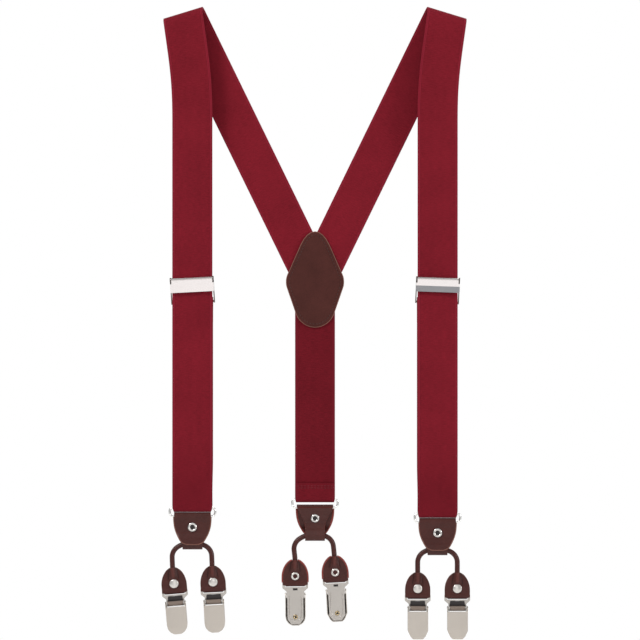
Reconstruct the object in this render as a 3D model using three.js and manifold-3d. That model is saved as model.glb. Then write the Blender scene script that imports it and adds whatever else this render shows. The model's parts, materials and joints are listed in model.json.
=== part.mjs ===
// Y-back suspenders: elastic webbing, leather fittings and two clips at each of the three ends.
//
// Frame: millimetres, +Z up, the wearer's front towards -Y. The suspenders hang as they do on a
// rack. The origin is midway between the two shoulder folds, at the height of their tops.
// Front straps lie at -Y, and the two diagonals and the rear strap lie at +Y.

import * as THREE from "three";
import { mergeVertices } from "three/addons/utils/BufferGeometryUtils.js";
import Module from "manifold-3d";

const wasm = await Module();
wasm.setup();
const deg = Math.PI / 180;

// ---- Driving dimensions ----------------------------------------------------------------------

// Webbing
const webWidth = 34.8;
const webThickness = 1.6;
const shoulderInnerRadius = 6;
const shoulderX = 112.5; // middle of each shoulder fold, from the centre
const shoulderSlope = 17; // the fold line rises this much towards the centre
const frontLean = 8; // each front strap starts this far from vertical
const leanEase = [18, 92]; // the front strap straightens between these lengths below the fold
const foldInnerRadius = 1.3; // where webbing turns round a ring or a bar
const layerGap = 0.3; // between two layers that lie on each other
const closing = 13; // how far a folded end turns in to lie on the layer beside it
const hemLength = 16;

// Leather
const leather = 1.5;
const lobeLeather = 1.3;
const patchTop = -190.5;
const patchBottom = -274;
const patchHalfWidth = 26.6;
const seamZ = -232; // the diagonals meet the rear strap here, inside the patch

// Adjusters
const adjusterZ = -241;
const splitZ = adjusterZ + 3; // the upper and lower runs of a front strap meet under the lever
const adjusterHalfWidth = 19;
const railThickness = 0.9;
const barDrop = 10.5;
const barRadius = 1;
const leverPivotRise = 9.5;
const leverHeight = 12.2;

// Rings
const ringWire = 1;
const ringHalfWidth = 19.7;
const ringHeight = 7.5;
const ringCorner = 2.7;

// Tabs, runners and lobes, all measured down from a strap's lowest point
const eyeletDrop = 13.8;
const shieldDrop = 28.5;
const cordDrop = 27.5;
const cordRadius = 2.2;
const cordOffset = 1.5; // the cord hangs this far behind the ring
const archRadius = 24;
const archHalfAngle = 30;
const legX = 17.2;
const loopHalfWidth = 8.6;
const lobeBarDrop = 41.5; // from the cord's top to a clip's loop bar
const lobeHalfWidth = 10.9;
const lobeHeight = 20.4; // above the loop bar
const rivetRise = 6.6;

// Clips, measured down from the loop bar
const sheet = 0.9;
const loopHalf = 11.2;
const pinY = -4.4;
const pinZ = -9.6;
const pinRadius = 0.65;
const tipZ = -35.5;
const coverBottomZ = -36.7;
const coverHalf = 8.85;
const coverDepth = 8.2;
const coverSheet = 0.8;

// The three ends: where each hangs, how far its runner is rocked, and how each clip leans.
const ends = [
  { name: "left", x: -104.8, bottom: -433, front: true, rock: 2.5, lean: [5, 3] },
  { name: "right", x: 104.8, bottom: -438, front: true, rock: 0, lean: [0, 0] },
  { name: "rear", x: 0, bottom: -426, front: false, rock: 5.5, lean: [0.6, 3] },
];
const adjusterTilt = { left: -3, right: 2 };

// ---- Materials -------------------------------------------------------------------------------

const finish = (color, roughness, metalness) =>
  new THREE.MeshStandardMaterial({ color, roughness, metalness });
const looks = {
  webbing: () => finish(0x761c26, 0.85, 0),
  leather: () => finish(0x4c2c28, 0.5, 0),
  nickel: () => finish(0xdcdcda, 0.16, 1),
  satin: () => finish(0xbeb4aa, 0.38, 1),
  plastic: () => finish(0x17171a, 0.5, 0),
};

// ---- Solids ----------------------------------------------------------------------------------

// Turns a closed geometry into a solid, with its faces pointing out.
function solid(geometry) {
  const bare = geometry.clone();
  bare.deleteAttribute("normal");
  bare.deleteAttribute("uv");
  const merged = mergeVertices(bare, 1e-4);
  const points = merged.attributes.position.array;
  const source = merged.index.array;
  const faces = [];
  let volume = 0;
  for (let i = 0; i < source.length; i += 3) {
    const [a, b, c] = [source[i], source[i + 1], source[i + 2]];
    if (a === b || b === c || c === a) continue;
    faces.push(a, b, c);
    const [p, q, r] = [a, b, c].map((k) => new THREE.Vector3().fromArray(points, 3 * k));
    volume += p.dot(q.cross(r));
  }
  if (volume < 0) faces.reverse();
  return new wasm.Manifold(new wasm.Mesh({
    numProp: 3,
    vertProperties: new Float32Array(points),
    triVerts: new Uint32Array(faces),
  }));
}

// Turns a solid back into a geometry.
function surface(body) {
  const mesh = body.getMesh();
  const geometry = new THREE.BufferGeometry();
  geometry.setAttribute("position", new THREE.Float32BufferAttribute(mesh.vertProperties, 3));
  geometry.setIndex([...mesh.triVerts]);
  geometry.computeVertexNormals();
  return geometry;
}

function block(x0, x1, y0, y1, z0, z1) {
  const geometry = new THREE.BoxGeometry(x1 - x0, y1 - y0, z1 - z0);
  geometry.translate((x0 + x1) / 2, (y0 + y1) / 2, (z0 + z1) / 2);
  return solid(geometry);
}

// A closed outline through corners [a, b, radius], each rounded by its radius.
function outline(corners) {
  const shape = new THREE.Shape();
  const at = (i) => corners[(i + corners.length) % corners.length];
  corners.forEach(([a, b, radius = 0], i) => {
    const here = new THREE.Vector2(a, b);
    const back = new THREE.Vector2(at(i - 1)[0], at(i - 1)[1]).sub(here);
    const on = new THREE.Vector2(at(i + 1)[0], at(i + 1)[1]).sub(here);
    const turn = Math.PI - Math.abs(back.angleTo(on));
    const cut = Math.min(radius * Math.tan(turn / 2), 0.48 * back.length(), 0.48 * on.length());
    const start = here.clone().addScaledVector(back.normalize(), cut);
    const end = here.clone().addScaledVector(on.normalize(), cut);
    if (i === 0) shape.moveTo(start.x, start.y);
    else shape.lineTo(start.x, start.y);
    if (cut > 0) shape.quadraticCurveTo(a, b, end.x, end.y);
  });
  shape.closePath();
  return shape;
}

const mirrored = (half) => [...half, ...half.map(([a, b, r]) => [-a, b, r]).reverse()];

// A front view outline (x, z) given depth from y0 to y1.
function frontCut(corners, y0, y1, steps = 2) {
  const options = { depth: y1 - y0, bevelEnabled: false, curveSegments: steps };
  const geometry = new THREE.ExtrudeGeometry(outline(corners), options);
  geometry.rotateX(Math.PI / 2);
  geometry.translate(0, y1, 0);
  return solid(geometry);
}

// A side view outline (y, z) given width from x0 to x1.
function sideCut(corners, x0, x1, steps = 2) {
  const options = { depth: x1 - x0, bevelEnabled: false, curveSegments: steps };
  const geometry = new THREE.ExtrudeGeometry(outline(corners), options);
  const basis = new THREE.Matrix4().makeBasis(
    new THREE.Vector3(0, 1, 0), new THREE.Vector3(0, 0, 1), new THREE.Vector3(1, 0, 0));
  geometry.applyMatrix4(basis);
  geometry.translate(x0, 0, 0);
  return solid(geometry);
}

// A round bar along x.
function barAlongX(radius, x0, x1, y, z, sides = 10) {
  const geometry = new THREE.CylinderGeometry(radius, radius, x1 - x0, sides);
  geometry.rotateZ(Math.PI / 2);
  geometry.translate((x0 + x1) / 2, y, z);
  return solid(geometry);
}

// A round bar along y.
function barAlongY(radius, y0, y1, x, z, sides = 10) {
  const geometry = new THREE.CylinderGeometry(radius, radius, y1 - y0, sides);
  geometry.translate(x, (y0 + y1) / 2, z);
  return solid(geometry);
}

// A round wire whose centre line lies in the plane y = 0, through points [x, z].
function wire(path, radius, sides, closed) {
  const points = path.map(([x, z]) => new THREE.Vector3(x, 0, z));
  const count = points.length;
  const vertices = [];
  points.forEach((point, i) => {
    const before = closed ? points[(i + count - 1) % count] : points[Math.max(i - 1, 0)];
    const after = closed ? points[(i + 1) % count] : points[Math.min(i + 1, count - 1)];
    const along = after.clone().sub(before).normalize();
    const side = new THREE.Vector3(-along.z, 0, along.x);
    const entry = point.clone().sub(before).normalize();
    const miter = entry.lengthSq() > 0 ? Math.max(Math.abs(entry.dot(along)), 0.5) : 1;
    for (let k = 0; k < sides; k += 1) {
      const angle = (2 * Math.PI * (k + 0.5)) / sides;
      const offset = side.clone().multiplyScalar((Math.cos(angle) * radius) / miter);
      offset.y = Math.sin(angle) * radius;
      vertices.push(...point.clone().add(offset).toArray());
    }
  });
  const faces = [];
  const last = closed ? count : count - 1;
  for (let i = 0; i < last; i += 1) {
    for (let k = 0; k < sides; k += 1) {
      const [a, b] = [i * sides + k, i * sides + ((k + 1) % sides)];
      const [c, d] = [((i + 1) % count) * sides + k, ((i + 1) % count) * sides + ((k + 1) % sides)];
      faces.push(a, b, c, b, d, c);
    }
  }
  if (!closed) {
    for (let k = 1; k < sides - 1; k += 1) {
      const end = (count - 1) * sides;
      faces.push(0, k + 1, k, end, end + k, end + k + 1);
    }
  }
  const geometry = new THREE.BufferGeometry();
  geometry.setAttribute("position", new THREE.Float32BufferAttribute(vertices, 3));
  geometry.setIndex(faces);
  return solid(geometry);
}

// A turned piece about the y axis, from a profile of [radius, y].
function turned(profile, segments = 10) {
  const points = profile.map(([r, y]) => new THREE.Vector2(r, y));
  return solid(new THREE.LatheGeometry(points, segments));
}

// A folded band seen from the side: it starts at [y, z] with a heading in degrees, then runs
// straight or turns. Each turn is { turn: degrees, radius }, and each straight is { run: length }.
function band(start, heading, moves, thickness) {
  let [y, z] = start;
  let angle = heading * deg;
  const left = [];
  const right = [];
  const mark = () => {
    const [ny, nz] = [-Math.sin(angle) * thickness * 0.5, Math.cos(angle) * thickness * 0.5];
    left.push([y + ny, z + nz]);
    right.push([y - ny, z - nz]);
  };
  mark();
  for (const move of moves) {
    if (move.run) {
      y += Math.cos(angle) * move.run;
      z += Math.sin(angle) * move.run;
      mark();
    } else {
      const steps = Math.max(2, Math.ceil(Math.abs(move.turn) / 24));
      const step = (move.turn / steps) * deg;
      for (let i = 0; i < steps; i += 1) {
        const chord = 2 * move.radius * Math.sin(Math.abs(step) / 2);
        y += Math.cos(angle + step / 2) * chord;
        z += Math.sin(angle + step / 2) * chord;
        angle += step;
        mark();
      }
    }
  }
  return [...left, ...right.reverse()];
}

// ---- The scene graph -------------------------------------------------------------------------

const suspenders = new THREE.Group();

function add(group, name, body, look) {
  const mesh = new THREE.Mesh(surface(body), looks[look]());
  mesh.name = name;
  group.add(mesh);
}

const webMid = shoulderInnerRadius + webThickness / 2; // middle of both layers, from the mid-plane
const turnMid = foldInnerRadius + webThickness / 2;
const closingRun = (2 * turnMid - webThickness - layerGap) / Math.sin(closing * deg) - 1;

// ---- Front straps over the shoulders ---------------------------------------------------------

// Maps a flat strip onto its path. `s` runs from the front tangent of the shoulder fold over to
// the back, `u` runs across, and `v` is the height above the strip's middle, outwards.
function overShoulder(s, u, v) {
  const slope = shoulderSlope * deg;
  const twist = (shoulderSlope - frontLean) * deg;
  const axis = new THREE.Vector3(Math.cos(slope), 0, Math.sin(slope));
  const down = new THREE.Vector3(Math.sin(slope), 0, -Math.cos(slope));
  const centre = new THREE.Vector3(-shoulderX, 0, -webMid);
  const half = (Math.PI * webMid) / 2;
  if (s > -leanEase[0]) {
    const along = (s - half / Math.cos(twist)) * Math.sin(twist) + u * Math.cos(twist);
    const across = s * Math.cos(twist) - u * Math.sin(twist);
    const point = centre.clone().addScaledVector(axis, along);
    const turnLength = Math.PI * webMid;
    if (across < 0) {
      return point.addScaledVector(down, -across).add(new THREE.Vector3(0, -(webMid + v), 0));
    }
    if (across > turnLength) {
      return point.addScaledVector(down, across - turnLength)
        .add(new THREE.Vector3(0, webMid + v, 0));
    }
    const angle = across / webMid;
    point.addScaledVector(down, -Math.sin(angle) * (webMid + v));
    return point.add(new THREE.Vector3(0, -Math.cos(angle) * (webMid + v), 0));
  }
  const start = overShoulder(-leanEase[0] + 1e-9, 0, v);
  const steps = 24;
  const length = -leanEase[0] - s;
  const ease = leanEase[1] - leanEase[0];
  const lean = (distance) => {
    const t = Math.min(distance / ease, 1);
    return frontLean * deg * (1 - t * t * (3 - 2 * t));
  };
  for (let i = 0; i < steps; i += 1) {
    const here = lean(((i + 0.5) / steps) * length);
    start.x += (Math.sin(here) * length) / steps;
    start.z -= (Math.cos(here) * length) / steps;
  }
  const here = lean(length);
  return start.add(new THREE.Vector3(u * Math.cos(here), 0, u * Math.sin(here)));
}

// The strip in its own length, cut into steps that are short only where it bends.
function shoulderStrip() {
  const stations = [-250];
  for (let s = -leanEase[1]; s < -leanEase[0]; s += 9) stations.push(s);
  stations.push(-leanEase[0] + 0.01);
  for (let s = -3.2; s < Math.PI * webMid + 3.6; s += 1.9) stations.push(s);
  stations.push(300);
  const across = 5;
  const geometry = new THREE.BoxGeometry(1, 1, 1, stations.length - 1, across, 1);
  const position = geometry.attributes.position;
  for (let i = 0; i < position.count; i += 1) {
    const station = Math.round((position.getX(i) + 0.5) * (stations.length - 1));
    const point = overShoulder(
      stations[station], position.getY(i) * webWidth, position.getZ(i) * webThickness);
    position.setXYZ(i, point.x, point.y, point.z);
  }
  return solid(geometry);
}

const strip = shoulderStrip();
const strapX = -overShoulder(-200, 0, 0).x;
const frontKeep = block(-200, 0, -20, 0, splitZ + layerGap / 2, 30);
const rearKeep = block(-200, -layerGap / 2, 0, 20, seamZ + layerGap / 2, 30);
const leftUpper = strip.intersect(frontKeep.add(rearKeep));
add(suspenders, "left_strap_upper", leftUpper, "webbing");
add(suspenders, "right_strap_upper", leftUpper.mirror([1, 0, 0]), "webbing");

// ---- Rear strap and patch --------------------------------------------------------------------

const rear = ends[2];
const rearPath = band([webMid, seamZ - layerGap / 2], -90, [
  { run: seamZ - layerGap / 2 - rear.bottom - turnMid - webThickness / 2 },
  { turn: -180 - closing, radius: turnMid },
  { run: closingRun - 1 },
  { turn: closing, radius: 5 },
  { run: hemLength - closingRun - 3.5 },
], webThickness);
add(suspenders, "rear_strap", sideCut(rearPath, -webWidth / 2, webWidth / 2), "webbing");

const patchOutline = [
  [0, patchTop + 15, 15.5],
  [patchHalfWidth, -233, 15],
  [13.4, patchBottom, 20],
  [-13.4, patchBottom, 20],
  [-patchHalfWidth, -233, 15],
];
const patchFace = webMid + webThickness / 2 + layerGap;
const patchBack = webMid - webThickness / 2 - layerGap;
add(suspenders, "patch_outer", frontCut(patchOutline, patchFace, patchFace + leather, 5), "leather");
add(suspenders, "patch_inner", frontCut(patchOutline, patchBack - leather, patchBack, 5), "leather");

// ---- Front straps below the adjusters --------------------------------------------------------

const barY = -webMid + webThickness + layerGap + turnMid;

function lowerStrap(end) {
  const turnZ = end.bottom + turnMid + webThickness / 2;
  const topZ = adjusterZ - barDrop;
  const rise = topZ - turnZ - Math.cos(closing * deg) * (closingRun - 1) - 0.75;
  const profile = band([-webMid, splitZ - layerGap / 2], -90, [
    { run: splitZ - layerGap / 2 - turnZ },
    { turn: 180 + closing, radius: turnMid },
    { run: closingRun - 1 },
    { turn: -closing, radius: 5 },
    { run: rise },
    { turn: -180 - closing, radius: turnMid },
    { run: closingRun - 1 },
    { turn: closing, radius: 5 },
    { run: 8 },
  ], webThickness);
  const geometry = surface(sideCut(profile, -webWidth / 2, webWidth / 2));
  const position = geometry.attributes.position;
  const tilt = Math.tan(adjusterTilt[end.name] * deg);
  for (let i = 0; i < position.count; i += 1) {
    const z = position.getZ(i);
    const share = THREE.MathUtils.clamp((z - topZ + 60) / 50, 0, 1);
    if (position.getY(i) > -webMid + webThickness / 2 + 0.1) {
      position.setZ(i, z - position.getX(i) * tilt * share);
    }
  }
  return solid(geometry);
}

for (const end of ends.filter((e) => e.front)) {
  const place = new THREE.Group();
  place.position.x = Math.sign(end.x) * strapX;
  add(place, `${end.name}_strap_lower`, lowerStrap(end), "webbing");
  suspenders.add(place);
}

// ---- Adjusters -------------------------------------------------------------------------------

const pivotY = -webMid - webThickness / 2 - layerGap - 1.4;
const plateY = -webMid + webThickness / 2 + layerGap;

function adjusterFrame() {
  const outer = adjusterHalfWidth;
  const inner = outer - railThickness;
  const rail = [
    [pivotY - 1.7, leverPivotRise + 1.8, 1.4],
    [pivotY - 1.7, leverPivotRise - 1.4, 1.4],
    [-7.9, 6.2, 1],
    [plateY - 0.4, -2, 1],
    [barY - 1.5, -barDrop - 1.3, 1],
    [barY + 1.2, -barDrop - 1.3, 1],
    [barY + 1.2, -barDrop + 1.3, 1],
    [plateY + 1.1, -1, 1],
    [plateY + 1.1, leverPivotRise + 2],
  ];
  const hole = barAlongX(1, -outer - 1, outer + 1, pivotY, leverPivotRise);
  const plate = block(-outer + 0.4, outer - 0.4, plateY, plateY + 1.1, 0, leverPivotRise + 1.8);
  return sideCut(rail, -outer, -inner, 3)
    .add(sideCut(rail, inner, outer, 3))
    .subtract(hole)
    .add(plate)
    .add(barAlongX(barRadius, -outer + 0.4, outer - 0.4, barY, -barDrop, 10));
}

function adjusterLever() {
  const half = adjusterHalfWidth - railThickness - layerGap;
  const top = leverPivotRise;
  const bottom = top + 0.9 - leverHeight;
  const front = pivotY - 1.2;
  const plate = frontCut(mirrored([
    [-half, top],
    [-half, 5.8],
    [-adjusterHalfWidth, 5.8],
    [-adjusterHalfWidth, bottom, 1],
  ]), front, front + 0.9, 3);
  return plate
    .add(barAlongX(1.4, -half, half, pivotY, top, 12))
    .add(barAlongX(0.7, -adjusterHalfWidth, adjusterHalfWidth, pivotY, top, 8))
    .add(block(-adjusterHalfWidth + 1, adjusterHalfWidth - 1, front, front + 1.9, bottom, bottom + 0.9));
}

for (const side of ["left", "right"]) {
  const place = new THREE.Group();
  place.position.set(side === "left" ? -strapX : strapX, 0, adjusterZ);
  place.rotation.y = adjusterTilt[side] * deg;
  add(place, `${side}_adjuster_frame`, adjusterFrame(), "nickel");
  add(place, `${side}_adjuster_lever`, adjusterLever(), "nickel");
  suspenders.add(place);
}

// ---- Rings -----------------------------------------------------------------------------------

function ring() {
  const path = [];
  const corner = (x, z, from) => {
    for (let i = 0; i <= 3; i += 1) {
      const angle = (from + i * 30) * deg;
      path.push([x + ringCorner * Math.cos(angle), z + ringCorner * Math.sin(angle)]);
    }
  };
  const x = ringHalfWidth - ringCorner;
  const z = ringHeight - ringCorner;
  corner(x, -ringCorner, 0);
  corner(-x, -ringCorner, 90);
  corner(-x, -z, 180);
  corner(x, -z, 270);
  return wire(path, ringWire, 8, true);
}

// ---- Leather tabs, with y measured from the ring and z from its lower bar ---------------------

const barToBottom = turnMid + webThickness / 2 - ringHeight; // ring's lower bar, from strap bottom
const cordFromBar = -cordDrop - barToBottom;
const eyeletFromBar = -eyeletDrop - barToBottom;
const cordDip = archRadius - Math.sqrt(archRadius ** 2 - loopHalfWidth ** 2);
const loopTop = cordFromBar + cordRadius + layerGap;
const loopFloor = cordFromBar - cordDip - cordRadius * 1.09 - layerGap;

function tab() {
  const shieldEnd = -shieldDrop - barToBottom;
  const inner = cordRadius + layerGap;
  const foldOuter = foldInnerRadius + leather;
  const loopFront = cordOffset - inner - leather;
  const loopBack = cordOffset + inner + leather;
  const profile = [
    [-foldOuter, foldOuter, 2.6],
    [-foldOuter, -1.5, 2],
    [-leather - 0.15, -5, 3],
    [-leather - 0.15, -14, 4],
    [loopFront - leather - 0.5, -19.5, 4],
    [loopFront - leather - 0.7, shieldEnd],
    [loopFront - 0.7, shieldEnd],
    [loopFront - 0.5, -20, 4],
    [-0.15, -14.6, 4],
    [-0.15, -5, 3],
    [-foldInnerRadius, -1.5, 1],
    [-foldInnerRadius, foldInnerRadius, 1.2],
    [foldInnerRadius, foldInnerRadius, 1.2],
    [foldInnerRadius, -1.5, 1],
    [0.15, -5, 3],
    [0.15, -15.8, 3],
    [loopFront, loopTop + 1.2, 3],
    [loopFront, loopFloor - leather, 3.4],
    [loopBack, loopFloor - leather, 3.4],
    [loopBack, loopTop + 1.6, 4],
    [leather + 0.15, -14, 4],
    [leather + 0.15, -5, 3],
    [foldOuter, -1.5, 2],
    [foldOuter, foldOuter, 2.6],
  ];
  const eye = sideCut([
    [cordOffset - inner, loopTop, 2.2],
    [cordOffset - inner, loopFloor, 2.2],
    [cordOffset + inner, loopFloor, 2.2],
    [cordOffset + inner, loopTop, 2.2],
  ], -20, 20);
  const shield = frontCut(mirrored([
    [-15.9, 4],
    [-15.4, -11, 12],
    [-8.5, shieldEnd, 9],
  ]), -8, 0, 4);
  const back = frontCut(mirrored([
    [-15.9, 4],
    [-15.2, -3, 4],
    [-9.6, -14.5, 8],
    [-loopHalfWidth, -17],
    [-loopHalfWidth, -40],
  ]), -8, 8);
  const frontHalf = sideCut([
    [-9, 4], [-9, -40], [loopFront - 0.25, -40], [loopFront - 0.25, -20], [0, -15.2], [0, 4],
  ], -20, 20);
  const whole = sideCut(profile, -17, 17).subtract(eye);
  return whole.intersect(frontHalf).intersect(shield)
    .add(whole.subtract(frontHalf).intersect(back))
    .subtract(barAlongY(2.4, -10, 10, 0, eyeletFromBar));
}

// ---- Runner: a rolled cord with a folded lobe at each end -------------------------------------

// The cord's path, from the middle of the arch down the right leg.
function legPath() {
  const path = [];
  for (let i = 0; i <= 4; i += 1) {
    const angle = (archHalfAngle * i * deg) / 4;
    path.push([archRadius * Math.sin(angle), archRadius * (Math.cos(angle) - 1)]);
  }
  const [x0, z0] = path[path.length - 1];
  const bend = (legX - x0) / (1 - Math.sin(archHalfAngle * deg));
  for (let i = 1; i <= 4; i += 1) {
    const angle = (archHalfAngle + ((90 - archHalfAngle) * i) / 4) * deg;
    path.push([
      x0 + bend * (Math.sin(angle) - Math.sin(archHalfAngle * deg)),
      z0 + bend * (Math.cos(angle) - Math.cos(archHalfAngle * deg)),
    ]);
  }
  path.push([legX, -lobeBarDrop + lobeHeight + 1]);
  return path;
}

// A lobe hangs from `joint`, with its loop bar at the origin and the cord's end inside its top.
function lobe() {
  const inside = 1.2;
  const outside = inside + lobeLeather;
  const flat = layerGap + lobeLeather;
  const profile = [
    [-outside, -outside, 2.4],
    [outside, -outside, 2.4],
    [outside, 0.8, 1],
    [flat, 2.4, 1],
    [flat, lobeHeight],
    [layerGap, lobeHeight],
    [layerGap, 2.4, 1],
    [inside, 0.8, 0.5],
    [inside, -inside, 1.1],
    [-inside, -inside, 1.1],
    [-inside, 0.8, 0.5],
    [-layerGap, 2.4, 1],
    [-layerGap, lobeHeight],
    [-flat, lobeHeight],
    [-flat, 2.4, 1],
    [-outside, 0.8, 1],
  ];
  const face = frontCut(mirrored([
    [-1.2, lobeHeight],
    [-3.4, lobeHeight - 2, 2],
    [-8, 15.6, 4],
    [-lobeHalfWidth, 8, 8],
    [-lobeHalfWidth, -0.7, 1],
    [-8.5, -1.2],
    [-8.5, -4],
  ]), -6, 6);
  const core = wire([[0, 12], [0, lobeHeight + 2.5]], cordRadius, 8, false);
  return sideCut(profile, -12, 12).intersect(face)
    .subtract(barAlongY(2.2, -6, 6, 0, rivetRise))
    .add(core);
}

const lobeRivet = [
  [0, -3.1], [2.2, -2.9], [3.5, -2.5], [3.9, -1.9], [1.9, -1.9], [1.9, 1.9],
  [3.5, 1.9], [3.3, 2.4], [1.6, 2.4], [1.6, 0.5], [0, 0.5],
];
const tabEyelet = [
  [1.65, -2.5], [2.7, -2.8], [4, -1.95], [2.1, -1.95], [2.1, 1.95], [3.6, 1.95], [2.7, 2.5],
  [1.65, 2.3], [1.65, -2.5],
];

// ---- Clip, with its loop bar at the origin and its front towards -Y ----------------------------

function clipBase() {
  const half = sheet / 2;
  const plate = frontCut(mirrored([
    [-loopHalf, 1, 0.6],
    [-loopHalf, -3.9, 1],
    [-7.75, -6.8, 1],
    [-7.75, -12.2],
    [-7, -13],
    [-7, -31],
    [-3.75, tipZ],
  ]), -half, half, 3);
  const opening = block(-9, 9, -2, 2, -3, -1);
  const slot = block(-2, 2, -2, 2, -5.9, -4);
  const ear = [[half, -7.2], [half, -12.2], [-6.2, -12.2, 1.6], [-6.2, -7.2, 2]];
  return plate
    .add(sideCut(ear, -7.75, -6.95))
    .add(sideCut(ear, 6.95, 7.75))
    .subtract(opening)
    .subtract(slot)
    .subtract(barAlongX(pinRadius + 0.3, -9, 9, pinY, pinZ, 8))
    .subtract(barAlongY(1.4, -2, 2, 0, tipZ + 6.4, 10));
}

function clipJaw() {
  const profile = [
    [pinY - 1.5, pinZ - 0.4, 1],
    [pinY - 0.9, -14, 1],
    [-3.8, -15.5],
    [-3.8, -33.4],
    [-2.75, -34.2],
    [-2.75, -32.9],
    [-3, -32.5],
    [-3, -15],
    [pinY + 1.5, pinZ, 1],
  ];
  const shape = frontCut(mirrored([[-6.2, 0], [-6.2, -29], [-3.4, -34.4]]), -8, 0);
  return barAlongX(1.6, -6.6, 6.6, pinY, pinZ, 12)
    .add(sideCut(profile, -7, 7, 2).intersect(shape))
    .subtract(barAlongX(pinRadius + 0.3, -9, 9, pinY, pinZ, 8));
}

function clipCover() {
  const half = coverHalf;
  const shape = (inset) => mirrored([
    [-half + inset, -4],
    [-half + inset, -28.5, 6],
    [-4.6 + inset * 0.5, coverBottomZ + inset, 3.5],
  ]);
  const side = [
    [-coverDepth + 1, -11.6, 0.8],
    [-coverDepth, -13.4, 0.8],
    [-coverDepth, -34, 2],
    [-coverDepth + 1.6, coverBottomZ - 1],
    [-1, coverBottomZ - 1],
    [-1, -14.5, 1.5],
    [pinY + 1.9, pinZ + 1.9, 1.7],
    [pinY - 1.9, pinZ + 1.9, 1.7],
  ];
  return frontCut(shape(0), -coverDepth, -1)
    .subtract(frontCut(shape(coverSheet), -coverDepth + coverSheet, 1))
    .intersect(sideCut(side, -10, 10))
    .subtract(barAlongX(pinRadius + 0.3, -12, 12, pinY, pinZ, 8));
}

function clipPad() {
  const front = -sheet / 2 - layerGap - 1.5;
  const back = -sheet / 2 - layerGap;
  return frontCut(mirrored([[-5.8, -21], [-5.8, -30.6], [-3.2, -34]]), front, back)
    .add(barAlongY(1.05, front + 0.5, sheet / 2 + 0.2, 0, tipZ + 6.4, 8));
}

// ---- The three ends --------------------------------------------------------------------------

for (const end of ends) {
  const hang = new THREE.Group(); // at the ring's top bar, turned so that -Y is the outer side
  const facing = end.front ? 1 : -1;
  const x = end.front ? Math.sign(end.x) * strapX : 0;
  hang.position.set(x, facing * (turnMid - webMid), end.bottom + turnMid + webThickness / 2);
  if (!end.front) hang.rotation.z = Math.PI;
  suspenders.add(hang);
  add(hang, `${end.name}_ring`, ring(), "nickel");

  const low = new THREE.Group(); // at the ring's lower bar
  low.position.z = -ringHeight;
  hang.add(low);
  add(low, `${end.name}_tab`, tab(), "leather");
  const eyelet = new THREE.Group();
  eyelet.position.z = eyeletFromBar;
  low.add(eyelet);
  add(eyelet, `${end.name}_tab_eyelet`, turned(tabEyelet), "nickel");

  const arch = new THREE.Group(); // at the top of the cord, rocked about the arch's centre
  const rock = facing * end.rock * deg;
  arch.position.set(
    -archRadius * Math.sin(rock), cordOffset, cordFromBar - archRadius * (1 - Math.cos(rock)));
  low.add(arch);

  const half = legPath();
  const cord = [...half.slice(1).map(([px, pz]) => [-px, pz]).reverse(), ...half];
  const turn = (px, pz, angle) => [
    px * Math.cos(angle) - pz * Math.sin(angle), px * Math.sin(angle) + pz * Math.cos(angle)];
  let runner = wire(cord.map(([px, pz]) => turn(px, pz, rock)), cordRadius, 8, false);
  for (const [k, letter] of ["a", "b"].entries()) {
    const side = (k === 0 ? -1 : 1) * facing;
    const lean = facing * end.lean[k] * deg;
    const [jx, jz] = turn(side * legX, -lobeBarDrop + lobeHeight + 1, rock);
    const bar = turn(0, -lobeHeight - 1, lean);
    const piece = lobe().rotate([0, -lean / deg, 0]).translate([jx + bar[0], 0, jz + bar[1]]);
    runner = runner.add(piece);

    const clip = new THREE.Group(); // at the clip's loop bar
    clip.position.set(jx + bar[0], 0, jz + bar[1]);
    clip.rotation.y = -lean;
    arch.add(clip);
    const tag = `${end.name}_clip_${letter}`;
    const rivet = new THREE.Group();
    rivet.position.z = rivetRise;
    clip.add(rivet);
    add(rivet, `${end.name}_rivet_${letter}`, turned(lobeRivet), "satin");
    add(clip, `${tag}_base`, clipBase(), "nickel");
    add(clip, `${tag}_pin`, barAlongX(pinRadius, -9.1, 9.1, pinY, pinZ, 8), "nickel");
    add(clip, `${tag}_jaw`, clipJaw(), "nickel");
    add(clip, `${tag}_cover`, clipCover(), "satin");
    add(clip, `${tag}_pad`, clipPad(), "plastic");
  }
  add(arch, `${end.name}_runner`, runner, "leather");
}

export default suspenders;
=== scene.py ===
# %% [markdown]
# # Clip-on suspenders
# The object hangs as it would on a rack: two front straps towards the reader, two diagonals that
# meet under a leather patch behind them, and one rear strap. Each of the three ends carries a wire
# ring, a folded leather tab, a rolled leather runner and two clips. The imported model is loaded as
# a fixed frame, and every piece made here rides on one of its bodies, except the two lower pieces
# of each front strap, which stay in place on no body.

# %% Load the frame
import bisect
import itertools
import json
import math

import bmesh
import bpy
from mathutils import Matrix, Vector

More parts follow.
